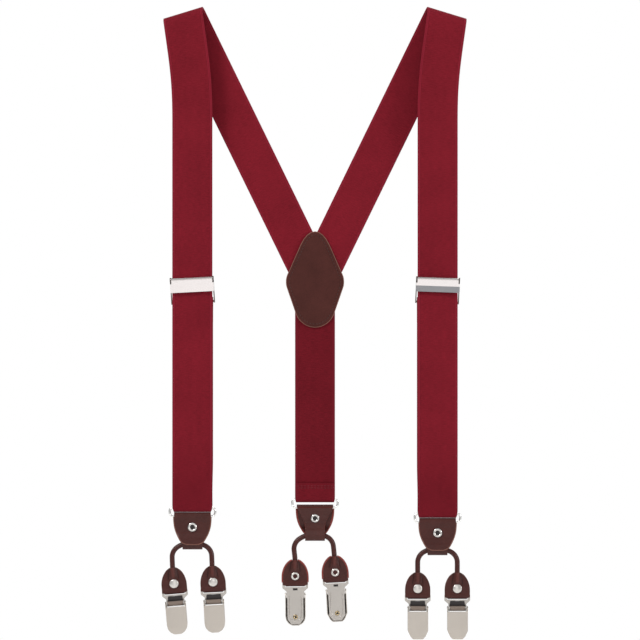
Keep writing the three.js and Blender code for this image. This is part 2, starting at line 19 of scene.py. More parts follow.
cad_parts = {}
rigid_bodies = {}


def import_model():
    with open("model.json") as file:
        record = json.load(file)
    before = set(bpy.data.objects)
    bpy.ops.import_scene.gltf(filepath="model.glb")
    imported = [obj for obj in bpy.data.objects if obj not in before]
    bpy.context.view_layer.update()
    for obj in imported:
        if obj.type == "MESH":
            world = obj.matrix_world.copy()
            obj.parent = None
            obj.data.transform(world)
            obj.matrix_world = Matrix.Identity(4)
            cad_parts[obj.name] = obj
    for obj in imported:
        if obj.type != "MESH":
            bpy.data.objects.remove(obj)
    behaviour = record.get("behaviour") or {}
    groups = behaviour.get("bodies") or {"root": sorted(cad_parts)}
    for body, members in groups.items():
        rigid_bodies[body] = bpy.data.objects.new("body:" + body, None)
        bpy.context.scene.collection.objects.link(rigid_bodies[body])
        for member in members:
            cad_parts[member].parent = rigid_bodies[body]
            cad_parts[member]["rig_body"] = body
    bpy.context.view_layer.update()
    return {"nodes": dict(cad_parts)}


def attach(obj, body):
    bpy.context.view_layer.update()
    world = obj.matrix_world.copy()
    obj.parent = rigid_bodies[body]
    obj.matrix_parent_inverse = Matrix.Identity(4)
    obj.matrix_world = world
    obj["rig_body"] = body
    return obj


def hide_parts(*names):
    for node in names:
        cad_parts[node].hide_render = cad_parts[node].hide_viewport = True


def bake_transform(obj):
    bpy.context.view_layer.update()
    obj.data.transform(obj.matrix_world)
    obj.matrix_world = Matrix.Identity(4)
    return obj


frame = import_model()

# %% [markdown]
# ## Sizes
# The numbers below are the real piece's sizes in millimetres, and everything is drawn in
# millimetres. A metre is Blender's unit, so each finished mesh is scaled once, at the very end.

# %% Sizes in millimetres
MM = 0.001
WEB_WIDTH, WEB_THICK = 34.8, 1.6
WEB_MID = 6.8              # middle of each layer of webbing from the middle plane
TURN_MID = 2.1             # middle of the webbing where it turns round a wire
CLOSING_DEG = 13           # how far a folded end turns in again to lie on its neighbour
CLOSING = math.radians(CLOSING_DEG)
CLOSING_RUN = (2 * TURN_MID - WEB_THICK - 0.3) / math.sin(CLOSING) - 1
FOLD_TURN = 180 + CLOSING_DEG
SHOULDER_X, SLOPE, LEAN = 112.5, math.radians(17), math.radians(8)
LEAN_EASE = (18.0, 92.0)
ADJUSTER_Z, BAR_DROP = -241.0, 10.5
RING_HEIGHT, RING_HALF, RING_CORNER = 7.5, 19.7, 2.7
CORD_R, ARCH_R, ARCH_HALF, LEG_X = 2.2, 24.0, math.radians(30), 17.2
CORD_OFFSET = 1.5
SLACK = 0.85               # a front strap's fold and its tab's fold hang this far off the wires
LOBE_HEIGHT, LOBE_DROP, RIVET_RISE = 20.4, 41.5, 6.6
PIN_Y, PIN_Z, PAD_EYELET_Z = -4.4, -9.6, -29.1
TILT = {"left": math.radians(-3), "right": math.radians(2)}
TAB_THICK, LOBE_THICK = 1.5, 1.3

END_TO_BAR = TURN_MID + WEB_THICK / 2 - RING_HEIGHT
CORD_Z = -27.5 - END_TO_BAR
EYELET_Z = -13.8 - END_TO_BAR
SHIELD_Z = -28.5 - END_TO_BAR


def clamped(value): return min(max(value, 0.0), 1.0)
def eased(value):
    """A smooth step from 0 to 1."""
    t = clamped(value)
    return t * t * (3 - 2 * t)


# %% [markdown]
# ## Finishing a mesh
# Every piece goes through one helper. It turns the faces outwards, marks the edges that should stay
# crisp, scales the mesh to metres, and puts the object on its body; a piece given a blend stays in
# place on no body.

# %% One helper to finish every piece
def shown(name, data):
    """A new object in the scene."""
    made = bpy.data.objects.new(name, data)
    bpy.context.scene.collection.objects.link(made)
    return made


def put(bm, name, body, finishes, nodes=(), crisp=38, blend=None, flat_above=None):
    """Turns a bmesh in millimetres into a finished piece on a body of the frame, or, given a blend,
    in place on no body.
    """
    bmesh.ops.recalc_face_normals(bm, faces=bm.faces)
    limit = math.radians(crisp)
    for edge in bm.edges:
        edge.smooth = len(edge.link_faces) != 2 or edge.calc_face_angle(0) < limit
    for face in bm.faces:
        face.smooth = flat_above is None or face.calc_area() < flat_above
    bmesh.ops.scale(bm, vec=(MM, MM, MM), verts=bm.verts)
    mesh = bpy.data.meshes.new(name)
    bm.to_mesh(mesh)
    bm.free()
    piece = shown(name, mesh)
    for finish in finishes if isinstance(finishes, (list, tuple)) else [finishes]:
        mesh.materials.append(finish)
    if blend:
        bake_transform(piece)
    else:
        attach(piece, body)
    if nodes:
        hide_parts(*([nodes] if isinstance(nodes, str) else nodes))
    return piece


# %% [markdown]
# ## Shader maths
# A finish is a small graph of nodes. This class wraps a socket, so that a pattern can be written
# as a sum: the operators add the Math nodes. Plain numbers are worked out in Python.

# %% A socket that takes part in sums
class Field:
    def __init__(self, finish, socket):
        self.finish, self.socket = finish, socket

    def math(self, operation, *others):
        values = dict(enumerate((self, *others)))
        return self.finish.node("ShaderNodeMath", {"operation": operation}, values)

    def __add__(self, other): return self.math("ADD", other)
    def __radd__(self, other): return self.math("ADD", other)
    def __sub__(self, other): return self.math("SUBTRACT", other)
    def __mul__(self, other): return self.math("MULTIPLY", other)
    def __rmul__(self, other): return self.math("MULTIPLY", other)
    def __truediv__(self, other): return self.math("DIVIDE", other)
    def __pow__(self, other): return self.math("POWER", other)
    def __abs__(self): return self.math("ABSOLUTE")

    def __rsub__(self, other):
        return self.finish.node(
            "ShaderNodeMath", {"operation": "SUBTRACT"}, {0: other, 1: self})

    def wave(self, length):
        """A sine of this wavelength, from 0 to 1."""
        return (self * (2 * math.pi / length)).math("SINE") * 0.5 + 0.5

    def ramp(self, low, high):
        """0 below low, 1 above high, with a smooth step between."""
        return self.finish.node(
            "ShaderNodeMapRange", {"interpolation_type": "SMOOTHSTEP"},
            {"Value": self, "From Min": low, "From Max": high})


class Finish:
    """One material, with a Principled shader whose sockets are set by name."""

    def __init__(self, name, **constants):
        self.material = bpy.data.materials.new(name)
        self.material.use_nodes = True
        self.tree = self.material.node_tree
        self.tree.nodes.clear()
        self.shader = self.tree.nodes.new("ShaderNodeBsdfPrincipled")
        output = self.tree.nodes.new("ShaderNodeOutputMaterial")
        self.tree.links.new(self.shader.outputs[0], output.inputs[0])
        for key, value in constants.items():
            self.set(self.shader, key.replace("_", " "), value)

    def set(self, node, key, value):
        socket = node.inputs[key]
        if isinstance(value, Field):
            self.tree.links.new(value.socket, socket)
        elif hasattr(socket.default_value, "__len__") and hasattr(value, "__len__"):
            size = len(socket.default_value)
            socket.default_value = (tuple(value) + (1.0,))[:size]
        else:
            socket.default_value = value

    def node(self, kind, settings=None, values=None, out=0):
        node = self.tree.nodes.new(kind)
        for key, value in (settings or {}).items():
            setattr(node, key, value)
        for key, value in (values or {}).items():
            self.set(node, key, value)
        return Field(self, node.outputs[out])

    def place(self, stretch=(1, 1, 1)):
        """Object coordinates, stretched along each axis."""
        found = self.node("ShaderNodeTexCoord", out="Object")
        return self.node("ShaderNodeMapping", {}, {"Vector": found, "Scale": stretch})

    def strip_map(self):
        """A strip's own map, and its two parts: how far across and how far along, in metres."""
        strip = self.node("ShaderNodeUVMap", {"uv_map": "strip"})
        across = self.node("ShaderNodeSeparateXYZ", {}, {0: strip})
        return strip, across, Field(self, across.socket.node.outputs[1])

    def noise(self, scale, detail=3, vector=None, rough=0.5):
        where = vector or self.place()
        return self.node("ShaderNodeTexNoise", {}, {
            "Vector": where, "Scale": scale, "Detail": detail, "Roughness": rough})

    def mix(self, share, first, second):
        """A blend of two colours."""
        node = self.tree.nodes.new("ShaderNodeMix")
        node.data_type = "RGBA"
        for key, value in ((0, share), (6, first), (7, second)):
            self.set(node, key, value)
        return Field(self, node.outputs[2])

    def wear(self, colour, rough, height=None, depth=0.0, strength=0.0):
        """Feeds the patterns to the shader."""
        self.set(self.shader, "Base Color", colour)
        self.set(self.shader, "Roughness", rough)
        if height is not None:
            bump = self.node("ShaderNodeBump", {}, {
                "Height": height, "Distance": depth, "Strength": strength})
            self.set(self.shader, "Normal", bump)
        return self.material


# %% [markdown]
# ## Elastic webbing
# Dress webbing is knitted elastic: fine wales run along it, crossed by picks, and the first two
# millimetres at each edge are a flatter, slightly pinker selvedge. The pattern follows the strip,
# so it reads the strip's own map, which holds its true width and length in metres.

# %% The webbing's finish
WALE, PICK = 0.00096, 0.00074   # metres from one wale to the next, and from pick to pick
BURGUNDY, SELVEDGE_PINK = (0.176, 0.0092, 0.0176), (0.205, 0.012, 0.024)


def webbing(name, bright=1.0, darker=None):
    """Webbing. `bright` scales its colour, below 1 for painted shade; `darker` gives two distances
    along it, in metres, between which painted shade turns it darker.
    """
    cloth = Finish(
        name, Sheen_Weight=0.03, Sheen_Roughness=0.45, Sheen_Tint=(1.0, 0.3, 0.36),
        Specular_IOR_Level=0.05)
    strip, across, along = cloth.strip_map()
    wobble = cloth.noise(160, 2) * 0.0004
    wale = (across + wobble).wave(WALE)
    shift = (across / WALE).math("FLOOR") * (PICK / 2)
    pick = (along + shift + wobble).wave(PICK)
    yarn = (wale ** 0.7) * (pick * 0.65 + 0.35)
    edge = abs(across)
    selvedge = edge.ramp(0.0150, 0.0153)
    groove = 1 - edge.ramp(0.01475, 0.0150) * (1 - edge.ramp(0.0151, 0.0154))
    cord = (across + 0.00024).wave(0.0013) * (along.wave(0.00055) * 0.3 + 0.7)
    height = (yarn * (1 - selvedge) + cord * selvedge) * groove
    patchy = cloth.noise(28, 4, rough=0.6)
    flat = cloth.node("ShaderNodeMapping", {}, {"Vector": strip, "Scale": (260, 1500, 1)})
    courses = cloth.noise(1, 3, vector=flat).ramp(0.32, 0.68)
    fibre = cloth.noise(2600, 2)
    tone = height * 0.45 + patchy * 0.28 + fibre * 0.25 + courses * 0.14
    base = [bright * c for c in BURGUNDY]
    deep = [0.42 * c for c in base]
    pink = [bright * c for c in SELVEDGE_PINK]
    lit = tone.ramp(0.1, 0.95)
    body = cloth.mix(lit, deep, [1.32 * c for c in base])
    rim = cloth.mix(lit, [0.6 * c for c in pink], pink)
    colour = cloth.mix(selvedge, body, rim)
    # painted shade: darker towards the end of the run, for the light falling off where the strap
    # curls back
    if darker:
        colour = cloth.mix(along.ramp(*darker) * 0.42, colour, deep)
    return cloth.wear(
        colour, 0.88 - fibre * 0.12, height + fibre * 0.25, depth=0.00022, strength=0.75)


web_finish = webbing("burgundy webbing")
# The front runs' webbing carries painted shade over its lower end.
shaded_low_web_finish = webbing("burgundy webbing, painted shade at lower end", 1.0, (0.125, 0.19))
# The rear strap's webbing is darkened as painted shade, for the strap hanging further back in
# shadow.
shaded_rear_web_finish = webbing("burgundy webbing, rear, painted shade", 0.73)

# %% [markdown]
# ## Leather
# The leather is smooth, dyed a dark reddish brown and lightly waxed: a pebble grain of about half
# a millimetre, soft blotches of colour, and a satin gloss. Its cut edges are lighter where the
# dye ends, and at the rear end they are painted red-brown.

# %% The leather finishes
def hide(name, base, gloss, grain=1.0, specular=0.2, shaded_lobe_length=None):
    """Leather. The last argument is the length of a folded lobe, over which painted shade darkens
    two lines beside the cord and a painted highlight lightens the ridge over it.
    """
    skin = Finish(name, Specular_IOR_Level=specular)
    pebble = skin.node("ShaderNodeTexVoronoi", {"feature": "DISTANCE_TO_EDGE"}, {
        "Vector": skin.place(), "Scale": 1500.0})
    crease = pebble.ramp(0.02, 0.28)
    pores = skin.noise(3200, 3).ramp(0.36, 0.62)
    cloudy = skin.noise(60, 5, rough=0.62)
    tone = cloudy * 0.5 + crease * 0.22 + 0.12
    colour = skin.mix(
        tone.ramp(0.15, 0.85), [0.68 * c for c in base], [1.36 * c for c in base])
    rough = gloss + cloudy * 0.16 - crease * 0.08
    if shaded_lobe_length:
        _, across, along = skin.strip_map()
        across = abs(across)
        below = along.math("MINIMUM", shaded_lobe_length - along)
        line = abs(across - below * 0.2 - 0.0026)
        # painted shade: two dark lines in the grooves beside the cord
        fold = (1 - line.ramp(0.0, 0.0013)) * (1 - below.ramp(0.008, 0.013))
        # painted highlight along the ridge over the cord
        painted_ridge_highlight = (1 - across.ramp(0.0002, 0.0016)) * (1 - below.ramp(0.006, 0.011))
        colour = skin.mix(fold * 0.8, colour, [0.3 * c for c in base])
        colour = skin.mix(painted_ridge_highlight * 0.5, colour, [2.2 * c for c in base])
    return skin.wear(
        colour, rough, crease * grain + pores * 0.3 + cloudy * 0.4, depth=0.00006, strength=0.45)


BROWN = (0.05, 0.0142, 0.0118)
leather = hide("brown leather", BROWN, gloss=0.2, specular=0.17)
patch_leather = hide("brown patch leather", (0.054, 0.0158, 0.013), gloss=0.5, specular=0.07)
inner_leather = hide(
    "brown leather, wearer's side", (0.052, 0.0148, 0.0122), grain=0.4, gloss=0.18, specular=0.2)
# The lobes' leather carries painted shade in its grooves and a painted highlight on its ridge.
lobe_leather = hide("brown leather, painted groove shade and ridge highlight", BROWN, gloss=0.2, specular=0.17, shaded_lobe_length=0.0473)
cut_edge = hide("cut leather edge", (0.15, 0.062, 0.045), grain=0.4, gloss=0.6)
painted_edge = hide("painted leather edge", (0.17, 0.026, 0.02), grain=0.2, gloss=0.34)

# %% [markdown]
# ## Metal, plastic and thread
# The rings and pins are polished nickel, and the flip covers and rivet caps satin nickel, brushed
# along their length. The adjusters' frames are near black: painted shade, for the shadows and dark
# reflections at their sides. The clips' jaws are darker, and the small eyelet that holds the
# toothed pad is brass. A near-black metal paints the shade in the eyelet and rivet holes and in
# each clip's neck.

# %% The metal finishes
def metal(name, base, rough, brushed=0.0, spread=0.05):
    plate = Finish(name, Metallic=1.0)
    haze = plate.noise(90, 4, rough=0.6)
    marks = plate.noise(2400, 2, vector=plate.place((1, 1, 0.06)))
    scratch = plate.noise(900, 3, vector=plate.place((0.15, 1, 1))).ramp(0.62, 0.75)
    colour = plate.mix(haze * 0.6 + marks * 0.4, [0.92 * c for c in base], [1.06 * c for c in base])
    shine = rough + haze * spread + scratch * 0.05 + marks * brushed * 0.12
    return plate.wear(
        colour, shine, marks * brushed + scratch * 0.2, depth=0.00002, strength=0.35)


nickel = metal("polished nickel", (0.78, 0.775, 0.76), 0.09)
satin = metal("satin nickel", (0.50, 0.455, 0.41), 0.33, brushed=1.0, spread=0.1)
bright_satin = metal("bright nickel cap", (0.60, 0.575, 0.545), 0.22, brushed=0.5, spread=0.1)
eyelet_metal = metal("nickel eyelet", (0.56, 0.54, 0.52), 0.17)
lever_plate = metal("polished lever plate", (0.527, 0.494, 0.485), 0.12)
plated = metal("plated steel", (0.45, 0.42, 0.39), 0.24, brushed=0.4, spread=0.12)
# painted shade: the frames are coloured near black for the shadows and dark reflections at their
# sides
shaded_frame_finish = metal("nickel with painted shade", (0.13, 0.11, 0.1), 0.3, brushed=0.4)
smoked = metal("smoked nickel", (0.24, 0.19, 0.16), 0.3, brushed=0.6)
brushed_band = metal("brushed nickel", (0.28, 0.28, 0.29), 0.36, brushed=1.0, spread=0.2)
# A near-black metal for pieces that paint shade: the discs in the eyelet and rivet holes, and the
# plate in each clip's neck.
shade_black_metal = metal("near-black metal for painted shade", (0.05, 0.045, 0.045), 0.35, brushed=0.6)
brass = metal("brass", (0.36, 0.28, 0.17), 0.22)


def plain(name, base, rough, scale=2000):
    """Moulded plastic or sewing thread: one colour with a fine texture."""
    stuff = Finish(name, Specular_IOR_Level=0.4)
    fine = stuff.noise(scale, 3)
    colour = stuff.mix(fine, [0.7 * c for c in base], [1.3 * c for c in base])
    return stuff.wear(colour, rough + fine * 0.15, fine, depth=0.00003, strength=0.4)


plastic = plain("black plastic", (0.012, 0.012, 0.013), 0.38)
thread = plain("burgundy thread", (0.10, 0.008, 0.014), 0.6, 5000)
brown_thread = plain("brown thread", (0.045, 0.018, 0.015), 0.55, 5000)

# %% [markdown]
# ## A strip that follows a path
# Webbing and folded leather are both flat strips bent along a path. A strip starts as a grid, its
# rows are slid to where the path needs them, close together in a fold and further apart where it
# runs straight, and a map keeps the flat width and length for the weave.

# %% Paths and strips
ROW_GAP, ROW_TURN = 3.0, 8.0   # mm from row to row, and degrees in a turn


class Band:
    """A path seen from the side: it runs straight or turns, as a folded strip does."""

    def __init__(self, start, heading, moves):
        self.parts, self.length = [], 0.0
        y, z, angle = *start, math.radians(heading)
        for kind, amount, radius in moves:
            size = amount if kind == "run" else abs(math.radians(amount)) * radius
            turn = 0.0 if kind == "run" else math.radians(amount)
            self.parts.append((self.length, size, y, z, angle, turn))
            y, z, angle = self.walk(self.parts[-1], size)
            self.length += size

    def walk(self, part, distance):
        _, size, y, z, angle, turn = part
        share = distance / size
        if abs(turn) < 1e-9:
            return y + math.cos(angle) * distance, z + math.sin(angle) * distance, angle
        radius = size / turn
        end = angle + turn * share
        return (
            y + radius * (math.sin(end) - math.sin(angle)),
            z - radius * (math.cos(end) - math.cos(angle)), end)

    def at(self, distance):
        """(y, z, heading) at this distance along the path."""
        distance = min(max(distance, 0.0), self.length)
        index = max(bisect.bisect_right([p[0] for p in self.parts], distance) - 1, 0)
        part = self.parts[index]
        return self.walk(part, distance - part[0])

    def rows(self):
        """The distances along the path at which a strip has its rows."""
        found = [0.0]
        for begin, size, *_, turn in self.parts:
            bend = abs(math.degrees(turn))
            steps = max(1, math.ceil(size / ROW_GAP), math.ceil(bend / ROW_TURN))
            found += [begin + size * (i + 1) / steps for i in range(steps)]
        return found


def run(length): return ("run", length, 0.0)
def turn(degrees, radius): return ("turn", degrees, radius)
def distances(line):
    """How far along a line of points each of them lies."""
    return [0.0, *itertools.accumulate((b - a).length for a, b in zip(line, line[1:]))]


def strip(rows, across, place):
    """A flat grid of rows and columns that `place(s, t)` bends into shape, with t from -1 to 1."""
    bm = bmesh.new()
    bmesh.ops.create_grid(bm, x_segments=across, y_segments=len(rows) - 1, size=0.5)
    flat = bm.loops.layers.uv.new("strip")
    spots = {}
    for vert in bm.verts:
        step = (vert.co.y + 0.5) * (len(rows) - 1)
        low = min(int(step + 1e-4), len(rows) - 2)
        s = rows[low] + (rows[low + 1] - rows[low]) * (step - low)
        spots[vert] = (s, vert.co.x * 2)
    bent = {vert: place(s, t) for vert, (s, t) in spots.items()}
    for face in bm.faces:
        for loop in face.loops:
            s, t = spots[loop.vert]
            loop[flat].uv = (t * bent[loop.vert][1] * MM, s * MM)
    for vert, (point, _) in bent.items():
        vert.co = point
    return bm


def thicken(piece, thickness, edge=0.25, rim=0, even=True):
    """Gives a strip its thickness and rounds its edges a little."""
    shell = piece.modifiers.new("thickness", "SOLIDIFY")
    shell.thickness, shell.offset = thickness * MM, 0.0
    shell.use_even_offset = even
    shell.material_offset_rim = rim
    soft = piece.modifiers.new("rounded edges", "BEVEL")
    soft.width, soft.segments = edge * MM, 2
    soft.limit_method, soft.angle_limit = "ANGLE", math.radians(50)


# %% [markdown]
# ## Front straps
# Each front strap is one length of webbing: from under the patch, up the diagonal, over the
# shoulder and down the front. Over the shoulder it winds round an oblique fold, which is what
# swings a diagonal into an upright, so its path is a wrap on a cylinder rather than a bend.

# %% The wrap over the shoulder
def over_shoulder(s, u):
    """A point of the strip. s runs from the fold's front to its back, and u across."""
    twist = SLOPE - LEAN
    axis = Vector((math.cos(SLOPE), 0, math.sin(SLOPE)))
    down = Vector((math.sin(SLOPE), 0, -math.cos(SLOPE)))
    centre = Vector((-SHOULDER_X, 0, -WEB_MID))
    turn_length = math.pi * WEB_MID
    if s > -LEAN_EASE[0]:
        along = (s - turn_length / 2 / math.cos(twist)) * math.sin(twist) + u * math.cos(twist)
        over = s * math.cos(twist) - u * math.sin(twist)
        point = centre + axis * along
        if over < 0:
            return point - down * over - Vector((0, WEB_MID, 0))
        if over > turn_length:
            return point + down * (over - turn_length) + Vector((0, WEB_MID, 0))
        angle = over / WEB_MID
        return point - down * math.sin(angle) * WEB_MID - Vector((0, math.cos(angle) * WEB_MID, 0))
    point = over_shoulder(-LEAN_EASE[0] + 1e-6, 0)
    length = -LEAN_EASE[0] - s
    ease = LEAN_EASE[1] - LEAN_EASE[0]

    def lean(distance): return LEAN * (1 - eased(distance / ease))

    steps = 24
    for i in range(steps):
        here = lean((i + 0.5) / steps * length)
        point += Vector((math.sin(here), 0, -math.cos(here))) * (length / steps)
    here = lean(length)
    return point + Vector((math.cos(here), 0, math.sin(here))) * u


PLUMB_S = -200.0                      # well below the shoulder, where the strap hangs upright
STRAP_X = -over_shoulder(PLUMB_S, 0).x
SPLIT_Z = ADJUSTER_Z + 3              # the still piece stops here and the adjustable one begins
SPLIT_S = SPLIT_Z - over_shoulder(PLUMB_S, 0).z + PLUMB_S
print("strap centre", round(STRAP_X, 2), "split at", round(SPLIT_S, 2), "along the strip")

# %% [markdown]
# The strap's length can be set at the adjuster, and the webbing is made as two pieces that meet
# edge to edge under it, with one weave running through both.

# %% Upper runs
half_web = WEB_WIDTH / 2
LONGEST = 297.0            # where the diagonal's slanted end is furthest along the strip
CENTRE_GAP, DIAGONAL_END = 0.15, -231.9  # the diagonals are cut short of these, under the patch


def shoulder_rows():
    rows, s = [SPLIT_S], SPLIT_S
    while s < LONGEST:
        bending = -6 < s < math.pi * WEB_MID + 6
        s = min(s + (0.8 if bending else 4.0), LONGEST)
        rows.append(s)
    return rows


for side, sign in (("left", 1), ("right", -1)):
    bm = strip(
        shoulder_rows(), 18, lambda s, t: (over_shoulder(s, t * half_web), half_web))
    for point, outward in ((Vector((-CENTRE_GAP, 0, 0)), Vector((1, 0, 0))),
                           (Vector((0, 0, DIAGONAL_END)), Vector((0, 0, -1)))):
        behind = [f for f in bm.faces if f.calc_center_median().y > 2]
        around = {v for f in behind for v in f.verts} | {e for f in behind for e in f.edges}
        bmesh.ops.bisect_plane(
            bm, geom=[*around, *behind], plane_co=point, plane_no=outward, clear_outer=True)
    bmesh.ops.scale(bm, vec=(sign, 1, 1), verts=bm.verts)
    upper = put(
        bm, f"{side}_front_strap_top", "yoke", web_finish, f"{side}_strap_upper")
    thicken(upper, WEB_THICK)
    area = sum(f.area for f in upper.data.polygons)
    print(side, "upper run", round(area * 1e4, 1), "square centimetres")

# %% [markdown]
# Below the adjuster each front strap runs down, turns round the ring and climbs back behind itself
# to the adjuster's bar. The front layer runs between the shoulder and the ring, and the rear layer
# between the ring and the adjuster, so they are two pieces.

# %% Lower runs and returns
LEFT = {"name": "left", "x": -STRAP_X, "bottom": -433.0, "front": True, "rock": 2.5,
        "lean": (5, 3)}
RIGHT = {"name": "right", "x": STRAP_X, "bottom": -438.0, "front": True, "rock": 0,
         "lean": (0, 0)}
REAR = {"name": "rear", "x": 0.0, "bottom": -426.0, "front": False, "rock": 5.5,
        "lean": (0.6, 3)}
ENDS = (LEFT, RIGHT, REAR)


def hanging(path, x, bottom, tilt=0.0, top=0.0, aside=0.0):
    """Places a strip on a path in the side view, at x, with a folded end that may tilt.

    Its corners draw in at the fold round the ring. A layer that lies `aside` shows as a dark
    line beside the layer in front of it."""
    def place(s, t):
        y, z, _ = path.at(s)
        if y > -WEB_MID + 1:
            z -= t * half_web * math.tan(tilt) * clamped((z - top + 60) / 50)
        centre = x + aside * eased(s / 30)
        drawn = max(1 - (z - bottom) / 6, 0)
        return Vector((centre + t * (half_web - 1.3 * drawn ** 3), y, z)), half_web
    return place


for end in (LEFT, RIGHT):
    side, x = end["name"], end["x"]
    turn_z = end["bottom"] + TURN_MID + WEB_THICK / 2 - SLACK
    top_z = ADJUSTER_Z - BAR_DROP
    rise = top_z - turn_z - math.cos(CLOSING) * CLOSING_RUN - 0.75
    down = Band((-WEB_MID, SPLIT_Z), -90, [
        run(SPLIT_Z - turn_z), turn(FOLD_TURN, TURN_MID), run(CLOSING_RUN), turn(-CLOSING_DEG, 5),
        run(4)])
    y, z, _ = down.at(down.length)
    back = Band((y, z), 90, [
        run(rise - 4), turn(-FOLD_TURN, TURN_MID), run(CLOSING_RUN), turn(CLOSING_DEG, 5),
        run(8)])
    for name, path, first, second, low, high in (
            ("run", down, "yoke", f"{side}_end", SPLIT_Z, -420.0),
            ("return", back, f"{side}_end", f"{side}_adjuster", end["bottom"] + 3, top_z + 1)):
        aside = -math.copysign(0.5, x) if name == "return" else 0.0
        bm = strip(path.rows(), 18, hanging(
            path, x, end["bottom"], TILT[side], top_z, aside))
        lower = put(
            bm, f"{side}_front_strap_{name}", None,
            shaded_low_web_finish if name == "run" else web_finish, f"{side}_strap_lower",
            blend=(first, second, (x * MM, -0.005, low * MM), (x * MM, -0.005, high * MM)))
        thicken(lower, WEB_THICK)
        print(side, name, round(path.length), "mm")

# %% [markdown]
# ## Rear strap
# The rear strap hangs from inside the patch, turns round its ring towards the wearer, and its
# short end is stitched down as a hem. The stitches are real geometry: small capsules in a row.

# %% Stitches
STITCH, STITCH_GAP, STITCH_R = 2.1, 0.7, 0.21


def stitch_row(bm, points, normal, closed=False):
    """A row of sewn stitches along a line of points, each a small capsule that dips at its ends."""
    line = [*points, points[0]] if closed else list(points)
    reach = distances(line)
    count = max(1, int(reach[-1] / (STITCH + STITCH_GAP)))
    for i in range(count):
        middle = (i + 0.5) * reach[-1] / count
        at = max(bisect.bisect_right(reach, middle) - 1, 0)
        a, b = line[at], line[at + 1]
        along = (b - a).normalized()
        centre = a + along * (middle - reach[at])
        basis = Matrix((along, normal.cross(along), normal)).transposed().to_4x4()
        bmesh.ops.create_uvsphere(
            bm, u_segments=8, v_segments=6, radius=1.0,
            matrix=Matrix.Translation(centre) @ basis
            @ Matrix.Diagonal((STITCH / 2, STITCH_R * 1.15, STITCH_R, 1)))
    return count


# %% Rear strap and its hem
REAR_TOP = -232.15         # inside the patch, just below the diagonals
HEM_ROWS, HEM_HALF = (2.4, 4.2), 16
turn_z = REAR["bottom"] + TURN_MID + WEB_THICK / 2
rear_path = Band((WEB_MID, REAR_TOP), -90, [
    run(REAR_TOP - turn_z), turn(-FOLD_TURN, TURN_MID), run(CLOSING_RUN - 1),
    turn(CLOSING_DEG, 5), run(16 - CLOSING_RUN - 2.5)])
bm = strip(rear_path.rows(), 18, hanging(rear_path, 0, REAR["bottom"]))
rear_strap = put(
    bm, "rear_strap_cloth", "yoke", shaded_rear_web_finish, "rear_strap")
thicken(rear_strap, WEB_THICK)
hem_y, hem_z, _ = rear_path.at(rear_path.length)
bm = bmesh.new()
for drop in HEM_ROWS:
    stitch_row(bm, [Vector((x, hem_y - 0.86, hem_z - drop)) for x in (-HEM_HALF, HEM_HALF)],
               Vector((0, -1, 0)))
put(bm, "rear_hem_stitches", "yoke", thread)
print("rear strap", round(rear_path.length), "mm, hem edge at", round(hem_z, 1))

# %% [markdown]
# ## Leather patch
# Two lozenges of leather, one on each side, are sewn through the webbing between them. Each starts
# as a flat polygon. Its corners are rounded, an inset gives the sewing groove, and an extrusion
# gives the thickness.

# %% Flat cuts of leather
def bevelled(bm, geom, width, segments, affect="EDGES", clamp=False):
    bmesh.ops.bevel(bm, geom=geom, offset=width, offset_type="OFFSET", segments=segments,
                    profile=0.5, affect=affect, clamp_overlap=clamp, material=-1)


def rounded(bm, corners, y, segments=8):
    """A face in the front view with the corners (x, z, radius) rounded."""
    verts = [bm.verts.new((x, y, z)) for x, z, *_ in corners]
    face = bmesh.ops.contextual_create(bm, geom=verts)["faces"][0]
    for i, (x, z, *radius) in enumerate(corners):
        if not radius:
            continue
        here = Vector((x, 0, z))
        before, after = (Vector((corners[j % len(corners)][0], 0, corners[j % len(corners)][1]))
                         for j in (i - 1, i + 1))
        bend = math.pi - (before - here).angle(after - here)
        cut = min(radius[0] * math.tan(bend / 2), 0.48 * (before - here).length,
                  0.48 * (after - here).length)
        corner = min(bm.verts, key=lambda v: (v.co - Vector((x, y, z))).length)
        bevelled(bm, [corner], cut, segments, "VERTICES")
    bm.normal_update()
    return max(bm.faces, key=lambda f: f.calc_area())


def both_sides(half):
    """A right half of (x, z, radius) corners, mirrored into a whole outline."""
    return [*half, *[(-c[0], *c[1:]) for c in reversed(half) if abs(c[0]) > 1e-6]]


PATCH = [(0, -172.7, 15.5), (26.6, -233, 15), (12.6, -273.6, 20), (-12.6, -273.6, 20),
         (-26.6, -233, 15)]


def patch(name, y, away):
    """A patch whose sewn face is at y, and whose leather goes 1.5 mm back from it."""
    bm = bmesh.new()
    face = rounded(bm, PATCH, y)
    if face.normal.y * away < 0:
        bmesh.ops.reverse_faces(bm, faces=[face])
        bm.normal_update()
    rims = []
    for width in (0.6, 1.8, 0.35, 0.35):    # the cut rim, the margin, and the groove's two banks
        ring = bmesh.ops.inset_region(
            bm, faces=[face], thickness=width, use_boundary=True,
            use_even_offset=True)["faces"]
        for f in ring if not rims else ():
            f.material_index = 1
        rims.append(list(face.verts))
    for vert in rims[2]:
        vert.co.y -= away * 0.32
    groove = [v.co.copy() + Vector((0, away * 0.1, 0)) for v in rims[2]]
    bm.normal_update()
    edges = [e for e in bm.edges if e.is_boundary]
    for vert in {v for e in edges for v in e.verts}:
        vert.co.y -= away * 0.35
    for item in bmesh.ops.extrude_edge_only(bm, edges=edges)["geom"]:
        if isinstance(item, bmesh.types.BMVert):
            item.co.y -= away * 1.15
        elif isinstance(item, bmesh.types.BMFace):
            item.material_index = 1
    bmesh.ops.holes_fill(bm, edges=[e for e in bm.edges if e.is_boundary])
    put(bm, f"{name}_leather", "yoke", [patch_leather, cut_edge], name)
    bm = bmesh.new()
    count = stitch_row(bm, groove, Vector((0, away, 0)), closed=True)
    put(bm, f"{name}_stitches", "yoke", brown_thread)
    return count


